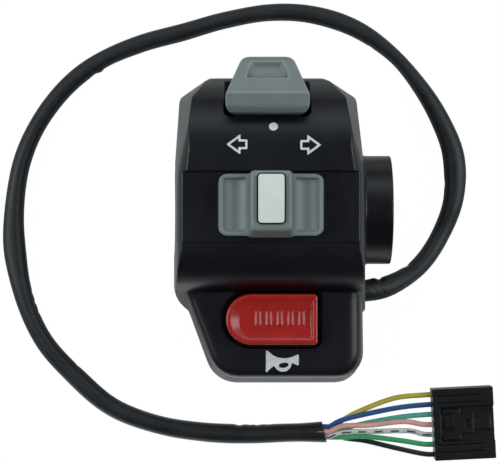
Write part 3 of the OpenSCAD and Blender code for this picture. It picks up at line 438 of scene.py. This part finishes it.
def print_ink():
    """White pad-printing ink, a little uneven."""
    f = Finish("print_ink", Specular_IOR_Level=0.4)
    cloud = f.noise(0.8, detail=4, rough=0.6)
    full = f.patches(cloud, 0.3, 0.62)
    return f.set(
        Base_Color=f.blend(full, tone(0.64, 0.67, 0.68), tone(0.8, 0.83, 0.84)),
        Roughness=0.5 + cloud.swing(0.2),
        Normal=f.bump(cloud, 0.02, strength=0.4),
    )


# Camera, at the photograph's place: straight above the part

CAMERA_AT = (-4.9, -5.5, 445)
LENS = 128.16
SENSOR = 36


def add_camera():
    data = bpy.data.cameras.new("camera")
    data.lens = LENS
    data.sensor_width = SENSOR
    data.clip_start = 10 * MM
    camera = bpy.data.objects.new("camera", data)
    camera.location = Vector(CAMERA_AT) * MM
    scene.collection.objects.link(camera)
    scene.camera = camera


# Lead: the sleeve from the housing to its open end, and seven wires from there to the connector

LIE_Z = FLOOR_Z + SLEEVE_D / 2 + 0.05
EXIT = (24.5, -20.2, -0.25 - SLEEVE_D / 2)
SLEEVE_ROUTE = [
    (14, EXIT[1], EXIT[2]), EXIT, (31.5, -18.5, -5.2), (38.5, -14, -10), (44, -6.5, LIE_Z),
    (47.5, 3, LIE_Z), (47.5, 14, LIE_Z), (44, 23.5, LIE_Z), (38.5, 32.5, LIE_Z), (31.5, 40.5, LIE_Z),
    (22, 47, LIE_Z), (11, 50.5, LIE_Z), (0, 51, LIE_Z), (-11.5, 49, LIE_Z), (-22, 46, LIE_Z),
    (-33, 43, LIE_Z), (-43.5, 38.5, LIE_Z), (-52, 32, LIE_Z), (-59, 23, LIE_Z), (-63.5, 13, LIE_Z),
    (-65.5, 1.5, LIE_Z), (-65.5, -10, LIE_Z), (-63, -22.5, LIE_Z), (-58, -33.5, LIE_Z),
    (-50, -42.5, LIE_Z), (-40.5, -50.5, LIE_Z), (-29, -55, LIE_Z), (-17, -57, LIE_Z),
    (-5.5, -57.5, LIE_Z), (5, -57.2, LIE_Z), (14.5, -57, LIE_Z),
]
# Rings of points from one point of the route to the next, and points of a ring
SLEEVE_STEPS = 18
SLEEVE_SIDES = 40
# Share of the sleeve's radius that is open inside, and how many rings of its end show that
OPEN_SHARE = 0.86
OPEN_RINGS = 30
# Soft waves in its radius: share of the radius, length in mm of one radian and start
WAVES = [(0.012, 11.0, 1.3), (0.01, 5.3, 0.4), (0.005, 2.1, 0.0)]
# Marks of handling: length along it, and the depth and width of a nick or, below 0, a bump on its inner side
NICKS = [
    (12.6, -0.16, 1.1), (14.3, 0.42, 0.9), (24.6, 0.3, 1.2), (52, 0.12, 0.8), (96, 0.12, 0.7),
    (171.4, -0.34, 0.8), (173.4, 0.16, 0.9), (238.6, 0.14, 0.7), (241.2, 0.22, 0.6), (244, 0.16, 0.7),
    (262, 0.12, 0.8), (309.8, 0.3, 0.9), (312.6, 0.14, 0.6), (314.6, 0.2, 0.7), (317.5, 0.1, 0.8),
]
# Creases across its top at the exit: length along it, slant and depth
CREASES = [(11.9, 1.5, 0.2), (13.3, 1.6, 0.26), (15.0, 1.7, 0.12), (17.2, 1.2, 0.08)]
CREASE_W = 0.38
# Where it lies flat or, below 0, on its narrow side: length along it, stretch and share of its width
FLATS = [
    (12.5, 8, 0.16), (56, 10, 0.23), (87, 11, -0.22), (135, 16, -0.1), (168, 8, -0.06), (196, 14, -0.05),
    (226, 9, 0.23), (264, 12, 0.06), (308, 14, 0.07), (332, 5, 0.13),
]
# How much of that share its height gives up
HEIGHT_SHARE = 0.6
# Slanted cut at its open end: how far back it reaches, its slant and its mean draw
CUT_REACH = 2.2
CUT_SLANT = 0.55
CUT_DRAW = 0.25


def frames_along(line):
    """Length from the start, and the directions along, across and up, at each point of a line."""
    step = np.gradient(line, axis=0)
    ahead = step / np.linalg.norm(step, axis=1)[:, None]
    across = np.cross(ahead, [0, 0, 1.0])
    across /= np.linalg.norm(across, axis=1)[:, None]
    up = np.cross(across, ahead)
    run = np.concatenate([[0], np.cumsum(np.linalg.norm(np.diff(line, axis=0), axis=1))])
    return run, ahead, across, up


def hump(x, middle, width):
    return np.exp(-(((x - middle) / width) ** 2))


def sleeve_reach(run, turn):
    """Radius of the sleeve in mm: soft waves, nicks and creases."""
    wave = sum(share * np.sin(run / length + start) for share, length, start in WAVES)
    reach = SLEEVE_D / 2 * (1 + wave)
    for place, depth, width in NICKS:
        reach = reach - depth * hump(run, place, width) * np.maximum(0, -np.cos(turn)) ** 2
    for place, slant, depth in CREASES:
        crease = hump(run, place + slant * np.cos(turn), CREASE_W)
        reach = reach - depth * crease * np.maximum(0, np.sin(turn))
    return reach


def sleeve_skin(line, turn):
    """Rings of points on the outside of the sleeve in mm, and the length from its start at each."""
    run, ahead, across, up = frames_along(line)
    reach = sleeve_reach(run[:, None], turn[None, :])
    spread = sum(share * hump(run, place, stretch) for place, stretch, share in FLATS)[:, None]
    wide = reach * np.cos(turn) * (1 + spread)
    tall = reach * np.sin(turn) * (1 - HEIGHT_SHARE * spread)
    skin = line[:, None, :] + across[:, None, :] * wide[..., None] + up[:, None, :] * tall[..., None]
    cut = hump(run, run[-1], CUT_REACH)[:, None] * (CUT_SLANT * np.cos(turn) - CUT_DRAW)
    skin += ahead[:, None, :] * cut[..., None]
    skin[..., 2] = np.maximum(skin[..., 2], FLOOR_Z)
    return skin, run


def tube_faces(rings, sides):
    """Faces of a tube of rings of points, closed at both ends."""
    faces = []
    for i in range(rings - 1):
        for k in range(sides):
            a, b = i * sides + k, i * sides + (k + 1) % sides
            faces.append((a, b, b + sides, a + sides))
    faces.append(tuple(range(sides - 1, -1, -1)))
    faces.append(tuple((rings - 1) * sides + k for k in range(sides)))
    return faces


def recalculate(mesh):
    """Turns the faces of a mesh outwards."""
    work = bmesh.new()
    work.from_mesh(mesh)
    bmesh.ops.recalc_face_normals(work, faces=work.faces[:])
    work.to_mesh(mesh)
    work.free()


def make_sleeve(finish):
    """The sleeve with its hollow end, its middle line and its length."""
    line = smooth_line(SLEEVE_ROUTE, SLEEVE_STEPS)
    turn = np.linspace(0, 2 * math.pi, SLEEVE_SIDES, endpoint=False)
    skin, run = sleeve_skin(line, turn)
    deep = OPEN_RINGS
    middle = skin[-deep:].mean(1, keepdims=True)
    inner = (middle + (skin[-deep:] - middle) * OPEN_SHARE)[::-1]
    rings = np.concatenate([skin, inner])
    verts = rings.reshape(-1, 3) * MM
    mesh = bpy.data.meshes.new("sleeve")
    mesh.from_pydata(verts.tolist(), [], tube_faces(len(rings), SLEEVE_SIDES))
    there_and_back = np.concatenate([run, run[-deep:][::-1]])
    store(mesh, "along", np.repeat(there_and_back * MM, SLEEVE_SIDES))
    store(mesh, "around", np.tile(0.5 + 0.5 * np.cos(turn), len(rings)))
    mesh.shade_smooth()
    mesh.materials.append(finish)
    recalculate(mesh)
    return new_object("sleeve", mesh), line * MM, float(run[-1]) * MM


# Each wire: its turn in degrees around the sleeve's middle, where it isn't the middle one itself, and the
# points that it fans out through, with their height above the floor
WIRES = {
    "yellow": (-40, (18.5, -54.4, 1.2), (23, -51.9, 1.6), (32, -48.4, 2.2)),
    "blue": (20, (18.5, -54, 3), (24, -52.6, 2.6), (33, -50.8, 2.4)),
    "teal": (None, (19.5, -56.1, 1.5), (26.5, -54.6, 1), (34, -53.2, 1.9)),
    "pink": (80, (19, -55.3, 4.2), (26, -55.2, 2.9), (34.5, -54.2, 3.6)),
    "white": (140, (19, -57, 3.5), (28, -56.8, 2.8), (36, -56.7, 2.6)),
    "green": (200, (19, -58.3, 2.7), (25, -58.2, 2.2), (34.5, -59.3, 2.4)),
    "black": (260, (19.5, -58.7, 1), (25, -59.5, 0.8), (33, -61.3, 1.6)),
}
TINTS = {
    "yellow": (0.66, 0.58, 0.068), "blue": (0.034, 0.12, 0.34), "teal": (0.085, 0.51, 0.42),
    "pink": (0.9, 0.48, 0.43), "white": (0.74, 0.77, 0.73), "green": (0.05, 0.46, 0.165),
    "black": (0.015, 0.017, 0.02),
}
WIRE_STEPS = 12
WIRE_SIDES = 20
WIRE_GAP = 0.16
# Where a wire is straight: along X from the sleeve's end, and from the connector's near face
IN_SLEEVE = (-4, 0, 1)
IN_PLUG = (-2, 3)
# The connector: its middle, turn and length, and the height and pitch of its seven ways
PLUG_AT = (49.9, -54.6)
PLUG_TURN = math.radians(2.8)
PLUG_L = 15.6
WAY_Z = 2.7
PITCH = 2.54
MIDDLE_WAY = 3


def plug_point(x, y, z):
    """A point of the connector, from its middle on the floor."""
    c, s = math.cos(PLUG_TURN), math.sin(PLUG_TURN)
    return (PLUG_AT[0] + x * c - y * s, PLUG_AT[1] + x * s + y * c, FLOOR_Z + z)


def wire_line(colour, way):
    """Middle line of a wire, from inside the sleeve's end to inside its way of the connector."""
    turn, *fan = WIRES[colour]
    off = 0 if turn is None else WIRE_D + WIRE_GAP
    turn = math.radians(turn or 0)
    end = SLEEVE_ROUTE[-1]
    start = (end[0], end[1] + off * math.cos(turn), end[2] + off * math.sin(turn))
    points = [(start[0] + x, start[1], start[2]) for x in IN_SLEEVE]
    points += [(x, y, FLOOR_Z + height) for x, y, height in fan]
    points += [plug_point(x - PLUG_L / 2, (MIDDLE_WAY - way) * PITCH, WAY_Z) for x in IN_PLUG]
    return smooth_line(points, WIRE_STEPS)


def wire_tree():
    """Skins a line with a round tube, and keeps how far along and around each point lies."""
    tree = bpy.data.node_groups.new("wire_skin", "GeometryNodeTree")
    face = tree.interface
    face.new_socket("Geometry", in_out="INPUT", socket_type="NodeSocketGeometry")
    face.new_socket("Radius", in_out="INPUT", socket_type="NodeSocketFloat")
    face.new_socket("Sides", in_out="INPUT", socket_type="NodeSocketInt")
    face.new_socket("Finish", in_out="INPUT", socket_type="NodeSocketMaterial")
    face.new_socket("Geometry", in_out="OUTPUT", socket_type="NodeSocketGeometry")
    g = Graph(tree)
    given = tree.nodes.new("NodeGroupInput")
    line, radius, sides, finish = (Value(g, given.outputs[k]) for k in range(4))
    number = {"data_type": "FLOAT", "domain": "POINT"}
    along = {"Name": "along", "Value": g.add("GeometryNodeSplineParameter", out="Length")}
    around = {"Name": "around", "Value": g.add("GeometryNodeSplineParameter", out="Factor")}
    curve = g.add("GeometryNodeMeshToCurve", None, {"Mesh": line})
    curve = g.add("GeometryNodeStoreNamedAttribute", number, {"Geometry": curve, **along})
    ring = g.add("GeometryNodeCurvePrimitiveCircle", None, {"Resolution": sides, "Radius": radius})
    ring = g.add("GeometryNodeStoreNamedAttribute", number, {"Geometry": ring, **around})
    skin = g.add("GeometryNodeCurveToMesh", None, {"Curve": curve, "Profile Curve": ring, "Fill Caps": True})
    skin = g.add("GeometryNodeRealizeInstances", None, {"Geometry": skin})
    skin = g.add("GeometryNodeSetMaterial", None, {"Geometry": skin, "Material": finish})
    g.end("NodeGroupOutput", 0, skin)
    return tree


def run_tree(piece, tree, **inputs):
    """Runs a tree on a piece with these inputs and keeps the plain mesh."""
    modifier = piece.modifiers.new("tree", "NODES")
    modifier.node_group = tree
    for item in tree.interface.items_tree:
        if item.in_out == "INPUT" and item.name in inputs:
            modifier[item.identifier] = inputs[item.name]
    return settle(piece)


def make_wire(colour, way, tree, finish):
    """A wire, its middle line and its length."""
    line = wire_line(colour, way)
    mesh = bpy.data.meshes.new("wire_line")
    mesh.from_pydata((line * MM).tolist(), [(i, i + 1) for i in range(len(line) - 1)], [])
    piece = new_object("lead_" + colour, mesh)
    run_tree(piece, tree, Radius=WIRE_D / 2 * MM, Sides=WIRE_SIDES, Finish=finish)
    piece.data.shade_smooth()
    length = float(np.linalg.norm(np.diff(line, axis=0), axis=1).sum()) * MM
    return piece, line * MM, length


# Moulded pieces: the solid's own form with rounded edges and smooth curves

# Points of a solid that are closer than this are one
WELD = 0.002
# Edges that turn by more than this aren't softened: the steps along them, and the levels of softening
EDGE_TURN = math.radians(38)
EDGE_STEP = 0.3
SOFT_LEVELS = 8
# Outer edges that turn by more than this are lightened as worn and as a painted highlight: the steps along
# them, and the reach of that lightening
CORNER_TURN = math.radians(36)
CORNER_STEP = 0.1
RUB_HIGHLIGHT_REACH = 0.35
# How much the large faces lead the normals of a skin
NORMAL_WEIGHT = 60


def weld(mesh):
    """Joins the loose triangles of a copied solid."""
    work = bmesh.new()
    work.from_mesh(mesh)
    bmesh.ops.remove_doubles(work, verts=work.verts[:], dist=WELD * MM)
    work.to_mesh(mesh)
    work.free()


def sharp_points(mesh, angle, step_mm, outer=False):
    """Points along the edges of a mesh, or only its outer ones, that turn by more than an angle."""
    work = bmesh.new()
    work.from_mesh(mesh)
    points = []
    for edge in work.edges:
        if len(edge.link_faces) != 2 or edge.calc_face_angle(0) < angle:
            continue
        if outer and not edge.is_convex:
            continue
        a, b = edge.verts[0].co, edge.verts[1].co
        n = max(1, int((b - a).length / (step_mm * MM)))
        points.extend(a.lerp(b, k / n) for k in range(n + 1))
    work.free()
    tree = KDTree(len(points))
    for i, p in enumerate(points):
        tree.insert(p, i)
    tree.balance()
    return tree


def add_smooth(piece, name, rounds):
    smooth = piece.modifiers.new(name, "SMOOTH")
    smooth.factor = 0.5
    smooth.iterations = rounds
    return smooth


def soften(piece, edges, rounds, keep, drum):
    """Smooths a piece between two distances from its sharp edges more and more, but not its drum."""
    near, far = keep
    group = piece.vertex_groups.new(name="soft")
    levels = [[] for _ in range(SOFT_LEVELS + 1)]
    for v in piece.data.vertices:
        if drum and math.hypot(v.co.y / MM - drum[0], v.co.z / MM - drum[1]) < drum[2]:
            continue
        off = edges.find(v.co)[2] / MM
        share = min(1, max(0, (off - near) / (far - near)))
        levels[round(share * SOFT_LEVELS)].append(v.index)
    for k, members in enumerate(levels):
        if k and members:
            group.add(members, k / SOFT_LEVELS, "REPLACE")
    add_smooth(piece, "softens", rounds).vertex_group = group.name


def moulded(node, finish, voxel, rounds, softens=0, most=150000, keep=(0.5, 1.8), drum=None):
    """A skin on a node's solid. Its edges are rounded, and facets away from sharp edges are softened."""
    mesh = nodes[node].data.copy()
    weld(mesh)
    edges = sharp_points(mesh, EDGE_TURN, EDGE_STEP) if softens else None
    corners = sharp_points(mesh, CORNER_TURN, CORNER_STEP, outer=True)
    piece = new_object(node + "_skin", mesh)
    remesh = piece.modifiers.new("skin", "REMESH")
    remesh.mode = "VOXEL"
    remesh.voxel_size = voxel * MM
    settle(piece)
    add_smooth(piece, "rounds", rounds)
    if softens:
        soften(piece, edges, softens, keep, drum)
    settle(piece)
    piece.vertex_groups.clear()
    triangles = 2 * len(piece.data.polygons)
    if triangles > most:
        thin = piece.modifiers.new("thin", "DECIMATE")
        thin.ratio = most / triangles
        settle(piece)
    off = np.array([corners.find(v.co)[2] for v in piece.data.vertices])
    # Closeness to outer sharp edges, for worn edges and painted highlights
    store(piece.data, "rubbed", np.clip(1 - off / (RUB_HIGHLIGHT_REACH * MM), 0, 1))
    piece.data.shade_smooth()
    weighted = piece.modifiers.new("weighted", "WEIGHTED_NORMAL")
    weighted.weight = NORMAL_WEIGHT
    settle(piece)
    cover(piece.data, finish)
    return piece


# Springs behind the push buttons


def sprung(node, body, joint, finish):
    """A copy of a spring's coil on a body. The share of its height that its button's travel leaves is worked
    out, but the coil isn't pressed shorter.
    """
    mesh = nodes[node].data.copy()
    weld(mesh)
    cover(mesh, finish)
    coil = new_object(node + "_coil", mesh)
    dress(coil, node, body)
    low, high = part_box(node)
    joints = {j["name"]: j for j in frame["record"]["behaviour"]["joints"]}
    travel = -joints[joint]["range_m"][0]
    1 - travel / (high[2] - low[2])
    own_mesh(coil)


# Printed signs, laid on the housing

# The layer of ink: how far it rises, how far it starts below the skin, and the height of its strips
INK_T = 0.07
INK_SUNK = 0.03
INK_STEP = 0.35
# Height, above all of the part, from which a sign is dropped on the skin
DROP_FROM = 60


def rounded(points, radius):
    """A closed outline with its corners rounded off, each over less than half of a side."""
    p = [Vector(q) for q in points]
    out = []
    for before, at, after in zip(p[-1:] + p[:-1], p, p[1:] + p[:1]):
        a, b = before - at, after - at
        cut = min(radius, a.length / 2.2, b.length / 2.2)
        start, end = at + a.normalized() * cut, at + b.normalized() * cut
        for t in (0, 0.25, 0.5, 0.75, 1):
            out.append((1 - t) ** 2 * start + 2 * t * (1 - t) * at + t * t * end)
    return [(v.x, v.y) for v in out]


def oval(x, y, rx, ry, lean=0.0, steps=36):
    c, s = math.cos(lean), math.sin(lean)
    turns = [2 * math.pi * k / steps for k in range(steps)]
    return [
        (x + rx * math.cos(t) * c - ry * math.sin(t) * s, y + rx * math.cos(t) * s + ry * math.sin(t) * c)
        for t in turns
    ]


def arrow_outline(tip, neck, head, tail, half):
    """An arrow that points left: X of its tip, neck and tail, and half the height of its head and tail."""
    upper = [(tip, 0), (neck, head), (neck, half), (tail, half)]
    return upper + [(u, -v) for u, v in reversed(upper[1:])]


def arrow(x, y, way):
    """Outline arrow with its middle at x, y, pointing left for way 1 and right for way -1."""
    outer = rounded(arrow_outline(-2.5, 0.82, 2.42, 2.45, 1.15), 0.32)
    inner = rounded(arrow_outline(-1.62, 0.32, 1.42, 1.95, 0.65), 0.08)
    return [[(x + way * u, y + v) for u, v in loop] for loop in (outer, inner)]


def bugle(x, y):
    """Horn sign with its middle at x, y: a bell, a mouthpiece and a looped tube."""
    upper = smooth_line([(-3.55, 2.6), (-2.0, 1.35), (-0.4, 0.85), (1.1, 0.8), (2.6, 1.2), (3.75, 1.72)], 5)
    right = [(3.95, 1.6), (3.95, -0.75), (3.7, -0.95)]
    under = smooth_line([(3.6, -0.92), (2.9, -0.6), (2.3, -0.38)], 4)
    tube = [
        (2.22, -0.6), (2.0, -1.35), (1.3, -2.15), (0.25, -2.48), (-0.8, -2.3), (-1.6, -1.65), (-1.95, -1.05),
    ]
    bell = smooth_line([(-2.05, -1.1), (-2.9, -1.75), (-3.5, -2.4), (-3.75, -2.62)], 4)
    left = [(-3.98, -2.5), (-3.95, 2.45), (-3.8, 2.66)]
    parts = (upper, right, under, smooth_line(tube, 5), bell, left)
    outline = [tuple(q) for part in parts for q in part]
    hole = oval(0.32, -0.92, 1.22, 0.62, 0.16)
    return [[(x + u, y + v) for u, v in loop] for loop in (outline, hole)]


def printed(name, loops, skin, finish):
    """A thin layer of ink in the shape of the loops, lying on the housing's skin."""
    work = bmesh.new()
    for loop in loops:
        verts = [work.verts.new((u * MM, v * MM, 0)) for u, v in loop]
        for a, b in zip(verts, verts[1:] + verts[:1]):
            work.edges.new((a, b))
    bmesh.ops.triangle_fill(work, use_beauty=True, edges=work.edges[:])
    heights = [v for loop in loops for _, v in loop]
    low, high = min(heights), max(heights)
    for k in range(1, int((high - low) / INK_STEP)):
        bmesh.ops.bisect_plane(
            work, geom=work.verts[:] + work.edges[:] + work.faces[:],
            plane_co=(0, (low + INK_STEP * k) * MM, 0), plane_no=(0, 1, 0), dist=1e-7,
        )
    for v in work.verts:
        place, normal, _, _ = skin.ray_cast(Vector((v.co.x, v.co.y, DROP_FROM * MM)), Vector((0, 0, -1)))
        v.co = place - normal * INK_SUNK * MM
    lifted = bmesh.ops.extrude_face_region(work, geom=work.faces[:], use_keep_orig=True)
    for v in lifted["geom"]:
        if isinstance(v, bmesh.types.BMVert):
            v.co.z += INK_T * MM
    bmesh.ops.recalc_face_normals(work, faces=work.faces[:])
    mesh = bpy.data.meshes.new(name)
    work.to_mesh(mesh)
    work.free()
    mesh.materials.append(finish)
    piece = new_object(name, mesh)
    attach(piece, "housing")


def skin_of(piece):
    mesh = piece.data
    mesh.calc_loop_triangles()
    return BVHTree.FromPolygons(
        [v.co for v in mesh.vertices], [tuple(t.vertices) for t in mesh.loop_triangles]
    )


# Studio, in metres: a white floor, soft lamps high on three sides, and a dim room with a pale ring of light

FLOOR_HALF = 4.0
FLOOR_GLOW = 1.05
# Share of its own glow against its lit surface, for the camera and for mirrored and bent rays
SEEN_SHARE = 0.94
MIRRORED_SHARE = 0.25
# A strip of floor that mirrored and bent rays see brighter: its span in Y, added glow and fades
STRIP_FROM = -0.15
STRIP_TO = 0.0
STRIP_GLOW = 3.6
STRIP_STOPS = [(0.07, 0), (0.4, 1), (0.63, 1), (0.71, 0)]
# Lamps: place, width and height, and power
LAMPS = {
    "left": ((-0.8, 0.06, 0.75), (0.5, 0.9), 4.7),
    "right": ((0.8, 0.06, 0.75), (0.5, 0.9), 4.2),
    "fill": ((0, 0.8, 0.7), (0.9, 0.5), 0.4),
}
LAMP_TINT = (0.94, 1.0, 0.99)
# The room: its level, and the ring's level, height and half width on the unit sphere
ROOM_TINT = tone(0.9, 0.97, 1.0)
ROOM_LEVEL = 0.07
RING_LEVEL = 0.9
RING_AT = 0.55
RING_HALF = 0.4
# Share of the ring's level to the left and right, and what its north side has more
RING_SIDES = 0.45
RING_NORTH = 0.8


def add_floor():
    material = bpy.data.materials.new("floor_white")
    material.use_nodes = True
    f = Graph(material.node_tree)
    f.tree.nodes.clear()
    seen, glossy, through = (
        f.add("ShaderNodeLightPath", out=ray)
        for ray in ("Is Camera Ray", "Is Glossy Ray", "Is Transmission Ray")
    )
    span = {"From Min": STRIP_FROM, "From Max": STRIP_TO}
    place = f.add("ShaderNodeTexCoord", out="Object")
    across = f.add("ShaderNodeMapRange", None, {"Value": f.part_of(place, "Y"), **span})
    strength = FLOOR_GLOW + f.ramp(across, STRIP_STOPS) * (1 - seen) * STRIP_GLOW
    shown = (seen * SEEN_SHARE).at_least(glossy.at_least(through) * MIRRORED_SHARE)
    lit = f.add("ShaderNodeBsdfDiffuse", None, {"Color": tone(0.5, 0.53, 0.53)})
    glow = f.add("ShaderNodeEmission", None, {"Color": tone(1, 1, 1), "Strength": strength})
    mixed = f.add("ShaderNodeMixShader", None, {0: shown, 1: lit, 2: glow})
    f.end("ShaderNodeOutputMaterial", "Surface", mixed)
    mesh = bpy.data.meshes.new("floor")
    corners = [(-1, -1), (1, -1), (1, 1), (-1, 1)]
    verts = [(x * FLOOR_HALF, y * FLOOR_HALF, FLOOR_Z * MM) for x, y in corners]
    mesh.from_pydata(verts, [], [(0, 1, 2, 3)])
    mesh.materials.append(material)
    new_object("floor", mesh)


def add_lamp(name, place, size, power):
    """A soft lamp that looks at the origin."""
    data = bpy.data.lights.new(name, "AREA")
    data.shape = "RECTANGLE"
    data.size, data.size_y = size
    data.energy = power
    data.color = LAMP_TINT
    lamp = bpy.data.objects.new(name, data)
    lamp.location = place
    lamp.rotation_euler = (-Vector(place)).to_track_quat("-Z", "Y").to_euler()
    scene.collection.objects.link(lamp)


def add_room():
    world = bpy.data.worlds.new("room")
    scene.world = world
    world.use_nodes = True
    w = Graph(world.node_tree)
    back = world.node_tree.nodes["Background"]
    way = w.add("ShaderNodeTexCoord", out="Generated")
    north, high = w.part_of(way, "Y"), w.part_of(way, "Z")
    ring = (1 - (high - RING_AT).size() / RING_HALF).at_least(0)
    ring = ring * (RING_SIDES + north * RING_NORTH).at_least(0)
    w.feed(back.inputs["Color"], ROOM_TINT)
    w.feed(back.inputs["Strength"], ROOM_LEVEL + ring * RING_LEVEL)


def add_studio():
    add_floor()
    for name, (place, size, power) in LAMPS.items():
        add_lamp(name, place, size, power)
    add_room()


# The camera, and the part's lead

add_camera()

sleeve, sleeve_line, sleeve_length = make_sleeve(vinyl_sleeve())
dress(sleeve, "cable_sleeve", "housing")

black_plug = moulded_plastic(
    "connector_black", tone(0.0035, 0.0042, 0.006), tone(0.0055, 0.0066, 0.009), 0.4,
    grain_mm=0.2, grain_depth=0.01, gloss=0.32,
)
plug = moulded("connector_housing", black_plug, voxel=0.11, rounds=4, most=120000)
dress(plug, "connector_housing", "housing")

skins = wire_tree()
for way, colour in enumerate(WIRES):
    finish = wire_skin("wire_" + colour, TINTS[colour], dashed=colour == "white")
    lead, lead_line, lead_length = make_wire(colour, way, skins, finish)
    dress(lead, "wire_" + colour, "housing")

# The housing and its controls

# Edges a little lightened by rubbing and a painted highlight
black = moulded_plastic(
    "housing_black", tone(0.0035, 0.0043, 0.0082), tone(0.0054, 0.0064, 0.0115), 0.33, gloss=0.48, wear_and_highlight=0.1
)
switch_tones = (tone(0.188, 0.218, 0.217), tone(0.227, 0.26, 0.258))
switch_grain = {"rough": 0.38, "grain_mm": 0.22, "grain_depth": 0.008, "gloss": 0.45}
# Slight painted shade in hollows; edges a little lightened by rubbing and a painted highlight
grey = moulded_plastic("switch_grey", *switch_tones, **switch_grain, wear_and_highlight=0.1, hollow_shade=0.1)
# Strong painted shade in hollows and on the drum, and strong painted highlights along its edges
shaded_rocker_grey = moulded_plastic("rocker_grey", *switch_tones, **switch_grain, wear_and_highlight=0.6, hollow_shade=1.4, drum=DRUM)
white = gloss_plastic("cancel_white", tone(0.8, 0.85, 0.815), tone(0.87, 0.91, 0.875), 0.36)
# Painted shade in hollows, and below 15.5 mm where the button sits in its pocket
red = gloss_plastic(
    "horn_red", tone(0.36, 0.014, 0.011), tone(0.46, 0.02, 0.015), 0.26, coat=0.3, shade_below=(15.5, 20)
)

front = moulded("front_housing", black, voxel=0.2, rounds=6, softens=200, most=195000)
dress(front, "front_housing", "housing")
rear = moulded("rear_housing", black, voxel=0.22, rounds=5, softens=40, most=170000)
dress(rear, "rear_housing", "housing")
rocker = moulded("dimmer_rocker", shaded_rocker_grey, voxel=0.14, rounds=7, softens=110, keep=(0.25, 0.8), drum=DRUM)
dress(rocker, "dimmer_rocker", "dimmer")
slider = moulded("turn_slider", grey, voxel=0.14, rounds=26, most=190000)
dress(slider, "turn_slider", "turn")
cancel = moulded("cancel_button", white, voxel=0.1, rounds=6, most=80000)
dress(cancel, "cancel_button", "cancel")
horn = moulded("horn_button", red, voxel=0.14, rounds=14, most=195000)
dress(horn, "horn_button", "horn")

ink = print_ink()
skin = skin_of(front)
printed("sign_dot", [oval(0.6, 19.2, 1.05, 0.95)], skin, ink)
printed("sign_left", arrow(-7.95, 15.0, 1), skin, ink)
printed("sign_right", arrow(9.3, 14.85, -1), skin, ink)
printed("sign_horn", bugle(2.9, -36.7), skin, ink)

# Inner pieces and fasteners, which keep the form of their solids

steel = plated_steel("screw_steel", tone(0.42, 0.43, 0.45), tone(0.62, 0.64, 0.66))
burnished = plated_steel("burnished_steel", tone(0.03, 0.03, 0.034), tone(0.06, 0.06, 0.066))
finishes = {
    "screw_steel": steel,
    "contact_brass": stamped_brass(),
    "board_brown": laminated_board(),
    "inner_grey": moulded_plastic("inner_grey", tone(0.05, 0.058, 0.06), tone(0.08, 0.09, 0.092), 0.45),
    "grommet_rubber": moulded_plastic(
        "grommet_rubber", tone(0.009, 0.009, 0.01), tone(0.014, 0.014, 0.016), 0.6,
        grain_mm=0.3, grain_depth=0.02, gloss=0.3,
    ),
}
for part in frame["record"]["subparts"]:
    if part["material_slot"] in finishes:
        cover(nodes[part["node"]].data, finishes[part["material_slot"]])
cover(nodes["dimmer_pivot_pin"].data, burnished)

sprung("cancel_spring", "turn", "cancel_push", steel)
sprung("horn_spring", "housing", "horn_push", steel)

add_studio()
